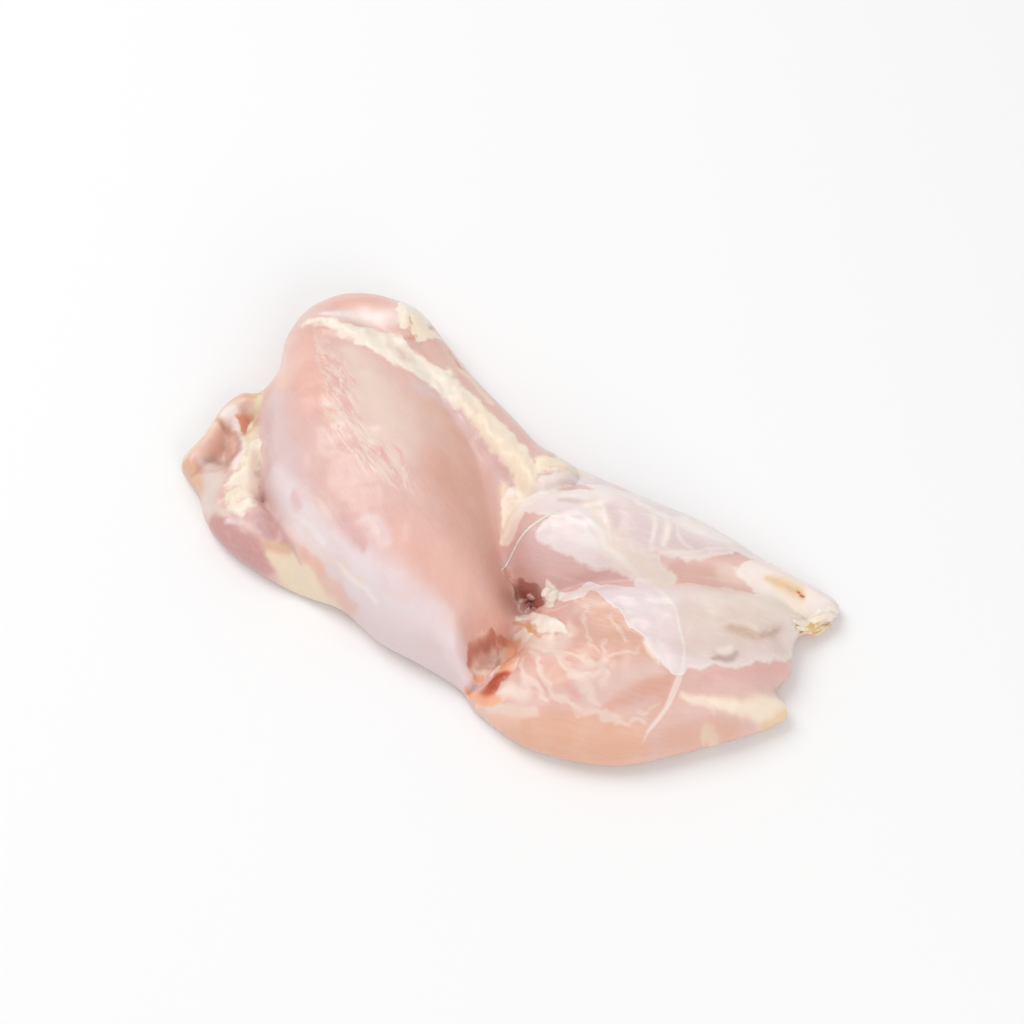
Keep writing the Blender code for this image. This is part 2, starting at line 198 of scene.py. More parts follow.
# Strokes of colour on the bare meat, the later over the earlier: colour, strength, hardness, then
# x, y, half width.
MEAT_STROKES = [
    ("peach", 0.9, 3, [(-55.5, 63, 3.6), (-51, 68, 4.6), (-42.5, 61, 4.6), (-35.5, 60, 4.1),
        (-28, 59, 2.6)]),
    ("lilac_pale", 0.97, 3, [(-48, 54, 1), (-42, 54, 2), (-37, 54, 2.6), (-31.5, 53.5, 2.4),
        (-28, 52, 1.8)]),
    ("lilac", 0.95, 2.5, [(-61, 28.5, 3.1), (-60, 20, 4.1), (-58.5, 12.5, 5.1), (-55.5, 4, 5.1),
        (-52, -2.5, 3.6)]),
    ("light_peach", 0.8, 3, [(-58.5, 50.5, 1.8), (-59, 43, 1.8), (-57.5, 33, 1.5)]),
    ("salmon", 0.95, 2.6, [(-53, 46.5, 3.1), (-52, 37, 4.4), (-49, 28.5, 4.4), (-45.5, 22.5, 3.1),
        (-42.5, 17.5, 2.1)]),
    ("pink", 0.8, 2.2, [(-44, 11.5, 3.6), (-39.5, 5.5, 5.1), (-33.5, -3.5, 6.7), (-23.5, -8.5, 7.7)]),
    ("peach", 0.5, 2.2, [(-34.5, 43, 1.5), (-29.5, 38, 2.1), (-25, 31, 2.6), (-24, 23.5, 2.1)]),
    # The warm and deep peach strokes down the right side of the broad lobe are partly the meat's own tone and
    # partly painted shade, where that side turns from the lamp and falls into the crease.
    ("warm", 0.85, 2.4, [(-19, 26, 3.1), (-14.5, 19, 4.1), (-13.5, 12.5, 5.1), (-12, 6.5, 5.6)]),
    ("deep_peach", 0.85, 2.2, [(-16.5, 4.5, 4.1), (-12, -1.5, 6.2), (-9, -7.5, 6.7), (-6, -13.5, 6.7),
        (-3.5, -19.5, 5.6), (-1.5, -23.5, 4.1)]),
    # The sand stroke over the crown of the broad lobe is partly the meat's pale tone and partly a painted
    # reflection of the soft lamp on the wet surface.
    ("sand", 0.95, 2.4, [(-40.5, 40.5, 2.1), (-36, 32, 4.6), (-32.5, 23.5, 6.7), (-29.5, 14, 7.2),
        (-28.5, 7.5, 5.1)]),
    ("peach", 0.85, 2.5, [(-26, -16.5, 4.6), (-19.5, -21.5, 7.2), (-11, -28, 8.2), (-5, -31, 6.2),
        (-1, -32, 3.1)]),
    ("lilac", 0.75, 3, [(-22, 31.5, 2.1), (-17, 29.5, 1.8), (-13, 27, 2.1), (-8, 22, 2.6),
        (-3.5, 16, 3.1), (0, 11, 3.1), (3, 6.5, 2.1)]),
    # The silver strokes down the lower left of the broad lobe are silver skin with a painted highlight on it.
    ("silver", 0.95, 4, [(-60, 8.5, 2.1), (-55.5, 0, 3.1), (-51.5, -6, 3.3), (-47.5, -11.5, 3.6),
        (-42.5, -17, 3.6), (-36.5, -21.5, 3.6)]),
    ("silver_shade", 0.95, 4, [(-42.5, -20.5, 3.3), (-38, -24.5, 5.1), (-31, -31, 6.2),
        (-23.5, -36.5, 5.9), (-16, -41.5, 5.1), (-10.5, -44.5, 3.3)]),
    ("silver", 0.75, 3, [(-39.5, -16.5, 3.1), (-34, -21, 4.1), (-28, -26, 4.4), (-21.5, -31, 3.6),
        (-15, -35.5, 2.6)]),
    ("silver", 0.8, 4, [(-16, -36.5, 2.1), (-12.5, -40, 2.3), (-10.5, -42.5, 2.1), (-9.5, -45.5, 1.3)]),
    ("patch_pink", 0.8, 3.5, [(-40.5, -10, 1.3), (-38.5, -12.5, 1.8), (-36.5, -15, 1.8),
        (-35, -17.5, 1)]),
    ("silver", 0.6, 4, [(-33.5, -11, 1.8), (-31, -14, 2.1), (-29.5, -17.5, 1.5)]),
    ("rose", 0.5, 4, [(-53.5, 0, 0.8), (-52.5, -2, 1), (-51.5, -4, 0.8)]),
    ("mauve", 0.95, 5, [(-21.5, 44.5, 2.6), (-17, 42.5, 3.1), (-14, 37, 3.1), (-9.5, 31, 3.3),
        (-4.5, 25, 3.1), (0.5, 19, 2.8), (5, 12.5, 2.3)]),
    ("mauve_dark", 0.8, 4, [(-1.5, 22.5, 1), (2.5, 17, 1.3), (5.5, 12, 1.3), (7, 8.5, 0.8)]),
    ("pale_pink", 0.8, 3, [(3.5, -11.5, 2), (7, -11, 2.6), (10, -13.5, 2.6), (5, -13.5, 2)]),
    ("cream_fat", 0.75, 4, [(0, 7, 1.5), (1, 2, 1.8), (0.5, -2.5, 1.8), (0, -6.5, 1.3)]),
    ("cream_fat", 0.85, 4, [(-15, 39.5, 0.9), (-14, 38, 1), (-15, 35, 0.8)]),
    ("cream_fat", 0.8, 4, [(-11.5, 40.5, 0.9), (-9, 38.5, 1.1), (-7, 35, 0.9), (-3.5, 31, 0.8)]),
    ("strand_pink", 0.95, 4, [(1.5, -13, 2.3), (5, -12, 3.6), (9, -16, 6.2), (14, -19, 4.6),
        (20, -19, 3.1), (26.5, -18.5, 2.1), (33, -20, 1.3)]),
    ("mauve_dark", 0.8, 3.5, [(3, -15.5, 1.3), (7, -19, 1.5), (11.5, -21, 1.5), (16, -21, 1.5),
        (20.5, -19.5, 1), (25.5, -19, 0.8)]),
    ("strand_pink", 0.6, 3, [(3.5, -9.5, 1.5), (6.5, -8.5, 1.8), (9, -11.5, 1.5)]),
    ("strip_pink", 0.95, 5, [(35, -18, 1.8), (40, -18.5, 2.8), (46.5, -18.5, 3.1), (54, -18, 3.1),
        (59.5, -16, 2.1), (63.5, -14, 1.3)]),
    ("mauve_dark", 0.6, 4, [(38.5, -17.5, 0.5), (46.5, -17, 0.5), (54, -16, 0.6), (61, -14, 0.6)]),
    ("pale", 0.85, 5, [(36, -18.5, 1.3), (38, -19, 1.8), (39.5, -19, 1)]),
    ("sand", 0.9, 3.5, [(54.5, -20, 1.5), (57.5, -20, 2.3), (61, -20, 2.6)]),
    ("meat_right", 0.9, 3, [(-1, -38, 3.1), (6, -42.5, 6.2), (16, -44, 10.3), (28, -48.5, 11.3),
        (35.5, -53.5, 7.7)]),
    ("apricot", 0.8, 3, [(22.5, -29.5, 3.1), (27, -36, 3.6), (31, -42, 3.1), (35, -46.5, 2.3)]),
    ("sand", 0.8, 3.5, [(4, -34.5, 1.8), (8.5, -39, 2.3), (13.5, -41, 2.1), (16.5, -36.5, 1.5)]),
    ("pale", 0.6, 3, [(17.5, -31, 1), (21, -29, 1.3), (24.5, -30, 1)]),
    ("orange_pale", 0.6, 4, [(15.5, -43, 0.6), (19, -44, 1), (23, -44, 0.6)]),
    ("marble", 0.8, 3.5, [(19.5, -50.5, 3.6), (24.5, -53, 5.6), (29.5, -50.5, 4.6), (34, -48.5, 2.8),
        (38, -48, 1.8)]),
    ("marble", 0.7, 3.5, [(13.5, -52.5, 2.1), (19.5, -56, 2.6), (27, -58, 2.3), (33, -58.5, 1.8)]),
    ("apricot", 0.8, 3, [(11.5, -47, 1.5), (13.5, -50.5, 1.8), (10.5, -47.5, 1.3)]),
    ("rose", 0.8, 4, [(15, -51, 0.8), (16.5, -53, 1), (17.5, -54.5, 0.8)]),
    ("deep_peach", 0.75, 4, [(26, -57, 1.3), (30.5, -55, 1.8), (35.5, -53, 2.3), (39, -51.5, 1.8)]),
    ("strip_pink", 0.8, 4, [(28.5, -58, 1.3), (33, -57, 1.8), (36.5, -56, 1.5)]),
    ("front", 0.95, 5, [(-6.5, -57, 1.8), (-1, -58.5, 3.3), (6, -61.5, 4.6), (16, -64, 6.2),
        (25.5, -65, 6.2), (32, -64.5, 3.8)]),
    ("light_peach", 0.7, 3, [(-6.5, -54.5, 1.5), (-2.5, -56, 1.8), (2.5, -58.5, 1.5)]),
    ("strip_pink", 0.9, 4, [(39, -63, 3.6), (45, -60, 4.4), (51.5, -58.5, 3.8), (57, -58.5, 2.1)]),
    ("front", 0.7, 3, [(40.5, -63.5, 2.1), (45.5, -62.5, 2.1), (51, -61, 1.8), (55.5, -60, 1.3)]),
    # The crisp pale stroke along the top of the front band is a painted highlight.
    ("pale", 0.9, 7, [(-4.5, -53.5, 0.8), (-1, -55, 1.3), (3.5, -56.5, 1.8), (7, -57, 1.5)]),
    ("sand", 0.8, 4, [(-1, -51.5, 1), (2, -51, 1.8), (4.5, -53, 1.8)]),
    ("strip_pink", 0.97, 6, [(43.5, -52, 2.3), (50, -51, 3.6), (57.5, -49, 4.4), (65.5, -46, 4.4),
        (72.5, -42.5, 3.6)]),
    ("rose", 0.6, 3, [(47.5, -50.5, 1.3), (55, -48.5, 1.5), (63, -45.5, 1.8), (69.5, -43, 1.5)]),
    ("lilac_pale", 0.7, 2.6, [(-50, 68, 2.5), (-42, 70, 3), (-33, 69, 2.5)]),
    ("sand", 0.6, 3, [(-20, 60, 1.6), (-14, 50, 1.8), (-7, 41, 1.4)]),
    ("cream_fat", 0.6, 3, [(0, 31, 1), (5, 26, 1.6), (11, 21, 1.2)]),
    ("edge_cream", 0.9, 4, [(43, -54.5, 0.6), (47.5, -55, 1), (52, -55.5, 1.2), (56, -55.5, 1.5)]),
    ("edge_cream", 0.95, 5, [(56, -56.2, 1.2), (59.5, -55.8, 2.1), (63, -55, 2.8), (67, -54, 3),
        (70, -53.5, 2)]),
    ("golden", 0.5, 4, [(64, -57.5, 0.8), (67.5, -56, 1.2), (69.5, -54.5, 1)]),
    ("edge_tan", 0.9, 6, [(49, -62.2, 0.6), (49.7, -61, 1.4), (51.5, -61.7, 1)]),
    ("golden", 0.6, 4, [(-64, 35, 0.8), (-66.5, 34.8, 0.9), (-69, 34.6, 0.5)]),
    ("tan", 0.97, 5, [(-75, 28, 1.3), (-76, 24.5, 2.8), (-73.5, 24, 3.1), (-78, 21, 2.6),
        (-71, 21.5, 1.8), (-80, 19, 1.3)]),
    ("brown", 0.35, 3.5, [(-72, 25, 1), (-71, 20.5, 1.3), (-73.5, 22, 1)]),
    ("rim", 0.95, 5, [(-70, 33.5, 1), (-73.5, 31, 1.3), (-76.5, 28, 1.3), (-79.5, 25.5, 1.5),
        (-82, 22, 1.5), (-83.5, 18.5, 1.3), (-84.5, 17, 1)]),
    ("orange_pale", 0.9, 4, [(-83, 16, 1.3), (-81.5, 14, 1.5), (-79.5, 10.5, 1.3), (-78, 7, 0.8)]),
    ("grey", 0.9, 4, [(-79, 17, 1.3), (-76.5, 16, 2.3), (-75.5, 8.5, 2.3), (-76, 5.5, 2.1),
        (-73, 10.5, 1.5)]),
    # Painted shadow just below the tan hollow of the flap.
    ("greige_shade", 0.7, 3.5, [(-78, 18, 0.8), (-75, 19, 1), (-70.5, 14.5, 0.8), (-72, 12, 0.8)]),
    ("yellow_cream", 0.95, 5, [(-64.5, 33.5, 1), (-65.5, 32, 1.5), (-67, 29, 1.8), (-66.5, 21, 2.1),
        (-65.5, 15, 2.1), (-66.5, 11.5, 1.8)]),
    ("white_veil", 0.95, 5, [(-73.5, 31, 1.6), (-72, 30, 1.8), (-71, 28, 1.2), (-69.3, 22, 0.9),
        (-68.3, 16, 1), (-69.5, 12, 1.2)]),
    ("grey", 0.8, 4, [(-77.5, 4.5, 1.5), (-75, 1, 1.8), (-71.5, 0, 1.5)]),
    ("plum", 0.97, 7, [(-75, -2, 1.8), (-71, -6, 3.3), (-66.5, -10, 3.8), (-63, -13, 2.6),
        (-59.5, -14.5, 1.5)]),
    ("lilac", 0.9, 6, [(-71, -3, 0.8), (-68.5, -3.5, 1), (-67, -4, 0.8)]),
    ("plum_light", 0.95, 6, [(-65.5, -2, 1.3), (-62.5, -3.5, 2.3), (-59.5, -7, 2.1),
        (-56.5, -10.5, 1.3)]),
    ("rose", 0.6, 4, [(-66, -1.5, 0.8), (-64.5, -1, 0.8)]),
    ("plum", 0.8, 5, [(-61, -3.5, 0.8), (-59, -6, 1), (-56.5, -9.5, 0.8)]),
    ("wedge", 0.97, 7, [(-59, -12, 1.8), (-56, -14.5, 3.1), (-52, -17.5, 3.3), (-47.5, -21, 2.6),
        (-44, -23.5, 1.8), (-39.5, -26.5, 1)]),
    ("tan_pale", 0.9, 4, [(-60.5, -10.5, 1), (-58, -11, 1.3), (-55, -12, 1)]),
    ("peach", 0.85, 5, [(-50.5, -15, 1), (-48, -17, 1.3), (-46, -19.5, 1)]),
    ("mauve", 0.9, 5, [(-47, -19, 0.8), (-44, -22, 1.3), (-41, -24.5, 1.3), (-38, -27.5, 1)]),
    ("mauve", 0.8, 5, [(-63, 6.5, 0.5), (-61, 2.5, 0.6), (-57.5, -5, 0.6), (-53, -12, 0.8),
        (-50, -15.5, 0.8)]),
]

# The same on the silver skin, on the fat and in the cuts.
SKIN_STROKES = [
    # The white stroke along the crest of the strand is silver skin, whitened further by a painted highlight.
    ("skin_white", 0.9, 2, [(1.5, -2.5, 3.6), (6.5, 4, 5.6), (16.5, 2, 5.6), (26.5, -2, 4.6)]),
    ("skin_lilac", 0.9, 3, [(14, -5, 2.1), (19, -6.5, 3.1), (24, -8.5, 2.1)]),
    ("skin_shade", 0.8, 3.5, [(14.5, -1, 0.6), (18, -2, 1), (21.5, -3, 0.8)]),
    ("veil_strand", 0.95, 3, [(27, -6, 2.6), (30, -10.5, 4.6), (35, -13, 4.6), (42, -14, 3.6),
        (49, -14.5, 2.6)]),
    ("skin_lilac", 0.7, 3, [(24.5, 10, 1.3), (30.5, 2, 2.1), (36.5, -3, 2.6), (43, -5.5, 2.1)]),
    ("skin_cream", 0.9, 3.5, [(21.5, -3.5, 1.8), (24, -7.5, 2.1), (25.5, -11, 2.3), (27, -14.5, 2.6),
        (30, -17, 2.8), (34, -18.5, 2.3), (37, -20, 1.5)]),
    ("skin_white", 0.7, 3.5, [(12, -8, 1), (14, -10.5, 1.5), (18.5, -13, 2.1), (22, -14.5, 1.5)]),
    ("skin_lilac", 0.6, 4, [(12, -12, 0.8), (16.5, -14.5, 1), (21, -16, 1)]),
    ("skin_cream", 0.7, 3.5, [(37, -8.5, 0.8), (37.5, -12.5, 0.9), (37, -15.5, 0.8)]),
    ("skin_cream", 0.7, 3.5, [(40.5, -8.5, 0.8), (41, -12, 0.9), (40, -15, 0.8)]),
    ("skin_white", 0.9, 3, [(45, -6.5, 1.5), (49, -8.5, 2.3), (53, -10, 2.1), (57.5, -11, 1.5)]),
    ("skin_shade", 0.6, 3, [(42, -15.5, 0.8), (49, -15.5, 1), (55.5, -14.5, 1)]),
    ("skin_lilac", 0.95, 2.6, [(17.5, -23, 2.1), (24, -23.5, 3.1), (29, -27.5, 4.6), (34.5, -31, 6.2),
        (38.5, -35.5, 5.6), (41, -42, 5.1), (41.5, -47.5, 3.1)]),
    ("skin_white", 0.9, 4, [(14, -24, 1.3), (16.5, -27, 1.5), (19.5, -25, 1.3), (24, -21.5, 1)]),
    ("skin_cream", 0.95, 2.6, [(37, -21, 1.5), (44, -23, 3.1), (51.5, -25.5, 4.4), (60, -28, 5.1),
        (68, -26, 5.1), (74.5, -26, 4.1)]),
    ("skin_beige", 0.85, 2.6, [(45.5, -33, 3.1), (52, -35, 3.8), (58.5, -34.5, 3.6), (64.5, -33, 2.6)]),
    ("skin_white", 0.9, 3, [(59, -19, 2.6), (64, -18.5, 3.3), (70, -20.5, 3.6), (75.5, -22.5, 3.1),
        (81, -24.5, 2.1)]),
    ("golden", 0.75, 2.4, [(66, -20.3, 0.6), (69, -21, 1.2), (71.5, -22, 1.6), (74, -23, 1.4)]),
    ("orange_pale", 0.6, 3, [(71.5, -22, 0.6), (73.5, -23, 0.7), (75, -23.8, 0.5)]),
    ("skin_lilac", 0.6, 3, [(22, 12, 4), (34, 7, 5), (46, 1, 5)]),
    ("skin_cream", 0.6, 3, [(54, -4, 4), (64, -10, 4)]),
    ("cream_fat", 0.85, 3, [(-0.5, -8, 1.8), (0, -3, 1.8), (1.5, 2, 1.8)]),
    ("skin_cream", 0.8, 3, [(69.5, -29.5, 3.1), (74, -29.5, 2.6), (72, -35.5, 2.1), (71, -40, 1.5)]),
    ("veil_low", 0.9, 3, [(45.5, -41, 3.6), (52, -41.5, 3.8), (58.5, -40.5, 3.3), (65, -39, 2.6),
        (68.5, -40, 2.1)]),
    ("skin_white", 0.5, 3, [(38, -40.5, 0.8), (39, -44.5, 1), (41, -48, 1.3)]),
    # Painted shade in shallow dents of the silver skin.
    ("dimple_shade", 0.75, 2.2, [(55.5, -36.3, 1), (58.5, -37, 1.6), (61.5, -38.2, 1)]),
    ("dimple_shade", 0.5, 2, [(63.5, -37.7, 0.9), (66.5, -36, 1.5), (69, -34.3, 0.9)]),
    ("skin_white", 0.45, 3, [(55, -34.9, 0.5), (58.5, -35.2, 0.8), (62, -36.4, 0.5)]),
    ("dimple_deep_shade", 0.5, 3, [(51.5, -44.9, 0.4), (54, -44, 0.8), (57, -42.9, 0.5)]),
    ("skin_white", 0.5, 3, [(53, -42.8, 0.5), (55.5, -41.6, 0.6)]),
    ("dimple_deep_shade", 0.3, 3, [(64, -37.5, 0.5), (66.5, -36, 0.8), (68.5, -34.5, 0.4)]),
]
FAT_STROKES = [
    ("cream", 0.9, 2, [(-51.5, 52, 2.6), (-38, 46.5, 4.6), (-27.5, 43.5, 6.2), (-19.5, 38, 5.6),
        (-13, 32, 4.6)]),
    ("yellow_fat", 0.85, 3, [(-9, 27.5, 2.6), (-6, 24.5, 3.1), (-2.5, 19.5, 3.6), (2, 15, 3.6),
        (5, 10, 3.1), (6, 6.5, 2.6)]),
    ("yellow_fat", 0.7, 3.5, [(-24.5, 50, 2.3), (-21.5, 50, 2.3), (-18.5, 50.5, 1.5)]),
    # Painted grey shade on the ribbon of fat.
    ("greige_shade", 0.25, 3.5, [(-27, 43.5, 1.3), (-25.5, 40, 1.3)]),
    ("yellow_fat", 0.95, 3, [(8, 11, 2.1), (14, 13, 3.1), (22, 14.5, 2.1)]),
    ("yellow_fat", 0.7, 3, [(-72, 5, 2.1), (-69.5, 1, 2.1), (-65.5, 14, 2.3)]),
    ("cream", 0.7, 3, [(-68, 8, 2.1), (-65.5, 8.5, 1.8)]),
    ("skin_cream", 0.7, 3, [(11, -22, 2.1), (12, -25, 2.1)]),
    ("grey", 0.5, 3, [(3, -33.5, 1), (4, -33.5, 1.3)]),
    ("yellow_fat", 0.9, 3, [(57.5, -56.5, 2.1), (63, -56, 2.6), (68.5, -55.5, 2.1), (50, -62, 2.1)]),
    ("yellow_fat", 0.8, 3, [(76, -31, 1.5), (80, -29, 1.5)]),
]
CUT_STROKES = [
    ("hole", 0.9, 2, [(-69.5, 29, 2.1), (-68.5, 28, 2.1)]),
    # The mauve line at the foot of the broad lobe is painted crease shade.
    ("crease_shade_mauve", 0.95, 2, [(-62.5, 3, 1.8), (-57.5, -6.5, 1.8), (-51.5, -15.5, 1.8)]),
    ("orange_line", 0.95, 2, [(-21.5, 65, 1.8), (-16, 54, 2.1), (-11.5, 42, 1.8), (-26, 46.5, 1.5),
        (-24, 47.5, 1.5)]),
    ("pocket_pink", 0.97, 2.5, [(-4.5, -36.5, 3.1), (-5.5, -39, 3.1), (-6, -44, 2.6)]),
    ("pocket_dark", 0.3, 3, [(-5, -36.5, 1.2), (-6, -40, 1.2)]),
    # The maroon lines along the upper edge of the pocket are partly the red of the cut and partly painted
    # shadow cast by the rounded edge of the broad lobe.
    ("maroon", 0.85, 4, [(-3, -33.5, 0.8), (-4.5, -35, 0.9), (-7, -37, 1.1), (-9, -39.5, 1.1),
        (-9.5, -41.5, 0.8)]),
    ("maroon", 0.7, 5, [(-2.5, -34.5, 0.8), (0, -33.5, 0.8), (1.5, -32.5, 0.7)]),
    ("pocket_orange", 0.95, 4, [(2, -34.5, 1.7), (2, -38, 2), (0, -45, 1.6)]),
    ("pocket_orange", 0.9, 4, [(-8, -44.5, 1), (-6, -45, 1.3)]),
    ("red", 0.97, 4, [(0, -46.5, 1.2), (-2, -47.5, 1.9), (-3.5, -49.5, 2), (-5, -50.5, 1.8)]),
    ("pocket_orange", 0.9, 4, [(-7, -50.5, 1.3), (-9.5, -47.5, 1.3)]),
    ("pocket_orange", 0.9, 4, [(-5.5, -52, 1.3), (-2, -53, 1.3)]),
    ("dark", 0.95, 2.5, [(3.5, -18.5, 2.3), (5.5, -21, 3.1), (8, -24, 2.1)]),
    ("pocket_dark", 0.8, 3, [(6.5, -26.5, 1.3), (11, -30.5, 1.3), (15.5, -29.5, 1.3)]),
    ("pocket_dark", 0.9, 3, [(0, -14.5, 1.3), (2, -17.5, 1.3)]),
    ("honey", 0.95, 3, [(2.5, -29, 1), (6, -33, 1.3), (8, -36.5, 1)]),
    ("honey", 0.95, 3, [(68, -21, 1), (72, -22, 1.3)]),
    ("red", 0.95, 4, [(74, -23, 0.8), (75.5, -23.5, 0.8)]),
    ("honey", 0.95, 3, [(75, -31.5, 1.3), (80, -28, 1.3)]),
]

# Where the skin, the fat and the cuts are, each as overlapping bands, sharp or soft at the edge: x, y,
# half width.
SKIN_BANDS = [
    [(14, -24.5, 1.3), (17.5, -25.5, 2.1), (21.5, -23, 1.8), (25.5, -24.5, 2.8), (29, -27.5, 3.8),
        (33.5, -30.5, 5.4), (37, -35, 5.4), (40, -40, 5.4), (41.5, -44.5, 4.6), (42, -48, 2.3)],
]
SOFT_SKIN_BANDS = [
    [(9, 5, 1.8), (12, 6.5, 2.3), (16.5, 8.5, 2.3), (21, 10, 2.3), (25.5, 4, 2.6), (30.5, 1.5, 2.4),
        (35.5, -0.5, 2.3)],
    [(2.5, 3, 3.4), (6.5, 2.5, 5.2), (11.5, 0, 5.2), (17.5, -3, 5.9), (24.5, -5, 7), (32, -7, 7.7),
        (39.5, -9.5, 8), (46.5, -11, 7), (53, -11.5, 5.4), (58, -12, 3.4), (61.5, -13.5, 1.8)],
    [(2, -0.5, 2.9), (1.5, -3.5, 2.6), (1, -5.5, 1.8)],
    [(11.5, -9, 2.9), (14.5, -11.5, 4.1), (18.5, -13, 4.1), (22, -14.5, 3.9), (26, -15.5, 3.9),
        (29.5, -16.5, 3.6), (33, -18.5, 3.4), (36.5, -20, 2.9), (40, -21.5, 2.6)],
    [(58.5, -19.5, 1.4), (63, -19, 3.8), (68, -21, 5.4), (73.5, -23, 5.7), (78.5, -24.5, 4.6),
        (83.5, -24.5, 2.9)],
    [(1, -7, 2.1), (2.5, -2, 2.6), (5.5, 1, 3.1), (10.5, 1.5, 3.4)],
    [(10, -10.5, 2.3), (14, -11.5, 3.4), (17.5, -14, 2.9), (21, -15.5, 1.8)],
    [(34, -23, 2.1), (39, -27, 4.9), (46, -31, 8.2), (53, -33, 9.8), (60.5, -33.5, 9.5), (68, -33, 8),
        (73, -32, 3.9)],
    [(45.5, -40.5, 7.7), (53, -40, 7), (60.5, -38.5, 6.2), (67, -36.5, 6.2), (71.5, -36, 3.9)],
    [(16, 15, 3), (24, 11, 5), (34, 6, 5.5), (44, 1, 5.5), (54, -4.5, 5.5), (64, -10.5, 5), (74, -16, 4),
        (80, -19.5, 4), (86, -23.5, 3.5)],
    [(13.5, 6.5, 1.8), (19, 10, 1.8), (24.5, 3, 1.8)],
]
FAT_BANDS = [
    [(-26.5, 50, 1.6), (-26.5, 54, 2.4), (-25.5, 59, 2.8), (-24, 55.5, 3.8), (-21.5, 51, 3.6),
        (-22.5, 48.5, 2.3), (-18.5, 51, 1.5)],
    [(-16.5, 38, 0.5), (-14.5, 38, 0.8), (-14, 35.5, 0.5)],
    [(-66, 11, 1.3), (-65, 16, 1.3), (-64.5, 21, 1)],
    [(3, -27.5, 1), (6, -27.5, 1.3), (10, -34, 2.3), (13, -35.5, 2.1), (14.5, -37, 1)],
    [(11, -21.5, 1), (12, -23, 1.8), (11.5, -27, 1)],
    [(3, -33, 1), (4.5, -33.5, 1.3), (6, -35.5, 1)],
    [(75, -31, 1.3), (78.5, -28.5, 1.3), (81.5, -27, 1.3), (84, -26, 0.8)],
    [(-1, -35.5, 0.5), (-1, -37.5, 0.4)],
    [(-1, -40, 0.5), (-2, -43.5, 1), (-3, -45, 0.6)],
]
SOFT_FAT_BANDS = [
    [(-54, 53, 0.6), (-49.5, 51.5, 1.3), (-45.5, 50, 1.8), (-41.5, 48, 2.3), (-38, 46.5, 2.6),
        (-34.5, 45, 3.3), (-30.5, 44, 4.4), (-27, 41.5, 4.6), (-24, 39.5, 4.4), (-21, 37.5, 3.8),
        (-18, 35.5, 3.8), (-15, 33.5, 3.6), (-12.5, 31, 3.6), (-9.5, 28.5, 3.3), (-7, 25.5, 3.3),
        (-4, 22, 3.6), (-1, 18.5, 3.8), (2, 14.5, 3.8), (4.5, 10, 3.3), (5.5, 7, 3.1), (4.5, 4.5, 2.3)],
    [(8, 7, 1.3), (8, 10, 1.5), (10.5, 12.5, 1.8), (13.5, 13, 2.1), (16.5, 12.5, 1.5), (19.5, 14.5, 1.3),
        (22.5, 13, 0.8)],
    [(-71.5, 6.5, 1.5), (-69, 8.5, 2.6), (-66, 9, 2.6), (-65, 7, 2.1), (-68, 4.5, 3.8), (-71, 4.5, 2.1),
        (-69, 0.5, 2.1), (-65.5, 2, 2.1)],
    [(-42, 49, 0.8), (-38.5, 48.5, 1.5), (-35, 48, 2.3), (-31.5, 45.5, 3.1), (-28, 42.5, 3.3),
        (-25, 39, 3.1)],
    [(8.5, 10.5, 1.5), (12.5, 10.5, 1.5), (16.5, 11, 1)],
]
CUT_BANDS = [
    [(-70.5, 29.5, 0.6), (-69, 29.5, 1.2), (-67, 30.5, 0.8)],
    [(-69, 28.5, 1), (-69, 26.5, 0.6)],
    [(-22, 59, 0.3), (-20, 57.5, 0.4), (-18, 55.5, 0.6), (-16, 51.5, 0.6), (-14, 45.5, 0.5),
        (-11.5, 41.5, 0.3)],
    [(-26.5, 46.5, 0.3), (-25, 47, 0.5), (-23.5, 47.5, 0.3)],
    [(3.5, -18.5, 1.3), (4.5, -20, 2.1), (7, -22, 2.1), (8.5, -25, 1.3), (5, -23.5, 1.3)],
    [(0, -14.5, 0.8), (0.5, -16, 1), (2, -17.5, 0.8)],
    [(6, -25, 0.8), (10, -30, 0.9), (13.5, -29.5, 0.9), (15.5, -29, 0.6)],
    [(2.5, -29, 0.5), (4, -29, 0.6), (6, -33, 0.7), (7.5, -36, 0.5)],
    [(8, -37, 0.3), (9.5, -37.5, 0.3)],
    [(75, -31.5, 0.4), (77.5, -29.5, 0.5), (80, -28, 0.4)],
    [(-3.5, -33.5, 0.5), (-4.5, -35, 1.3), (-7, -37, 1.5), (-8, -39.5, 1.5), (-8, -41, 1.5),
        (-7, -43, 1.8), (-6, -45, 1.5)],
    [(-3.5, -34.5, 1.5), (-4, -36.5, 2.1), (-4.5, -39, 2.1), (-5, -42.5, 1.8)],
    [(-1, -34, 1), (0, -34.5, 1.8), (1, -36, 2.1), (1, -44, 2.1), (-1, -45, 1.8)],
    [(0, -47, 1), (-2, -47.5, 1.5), (-3.5, -49.5, 1.8), (-4.5, -51, 1.8), (-7, -50, 1.3),
        (-9.5, -47.5, 0.8)],
    [(-6.5, -52, 0.8), (-4, -53, 1), (-1, -53, 1)],
    [(3.5, -34.5, 0.8), (3.5, -35.5, 0.5)],
    [(73.8, -23, 0.3), (74.5, -23.5, 0.6), (75.5, -24, 0.3)],
]

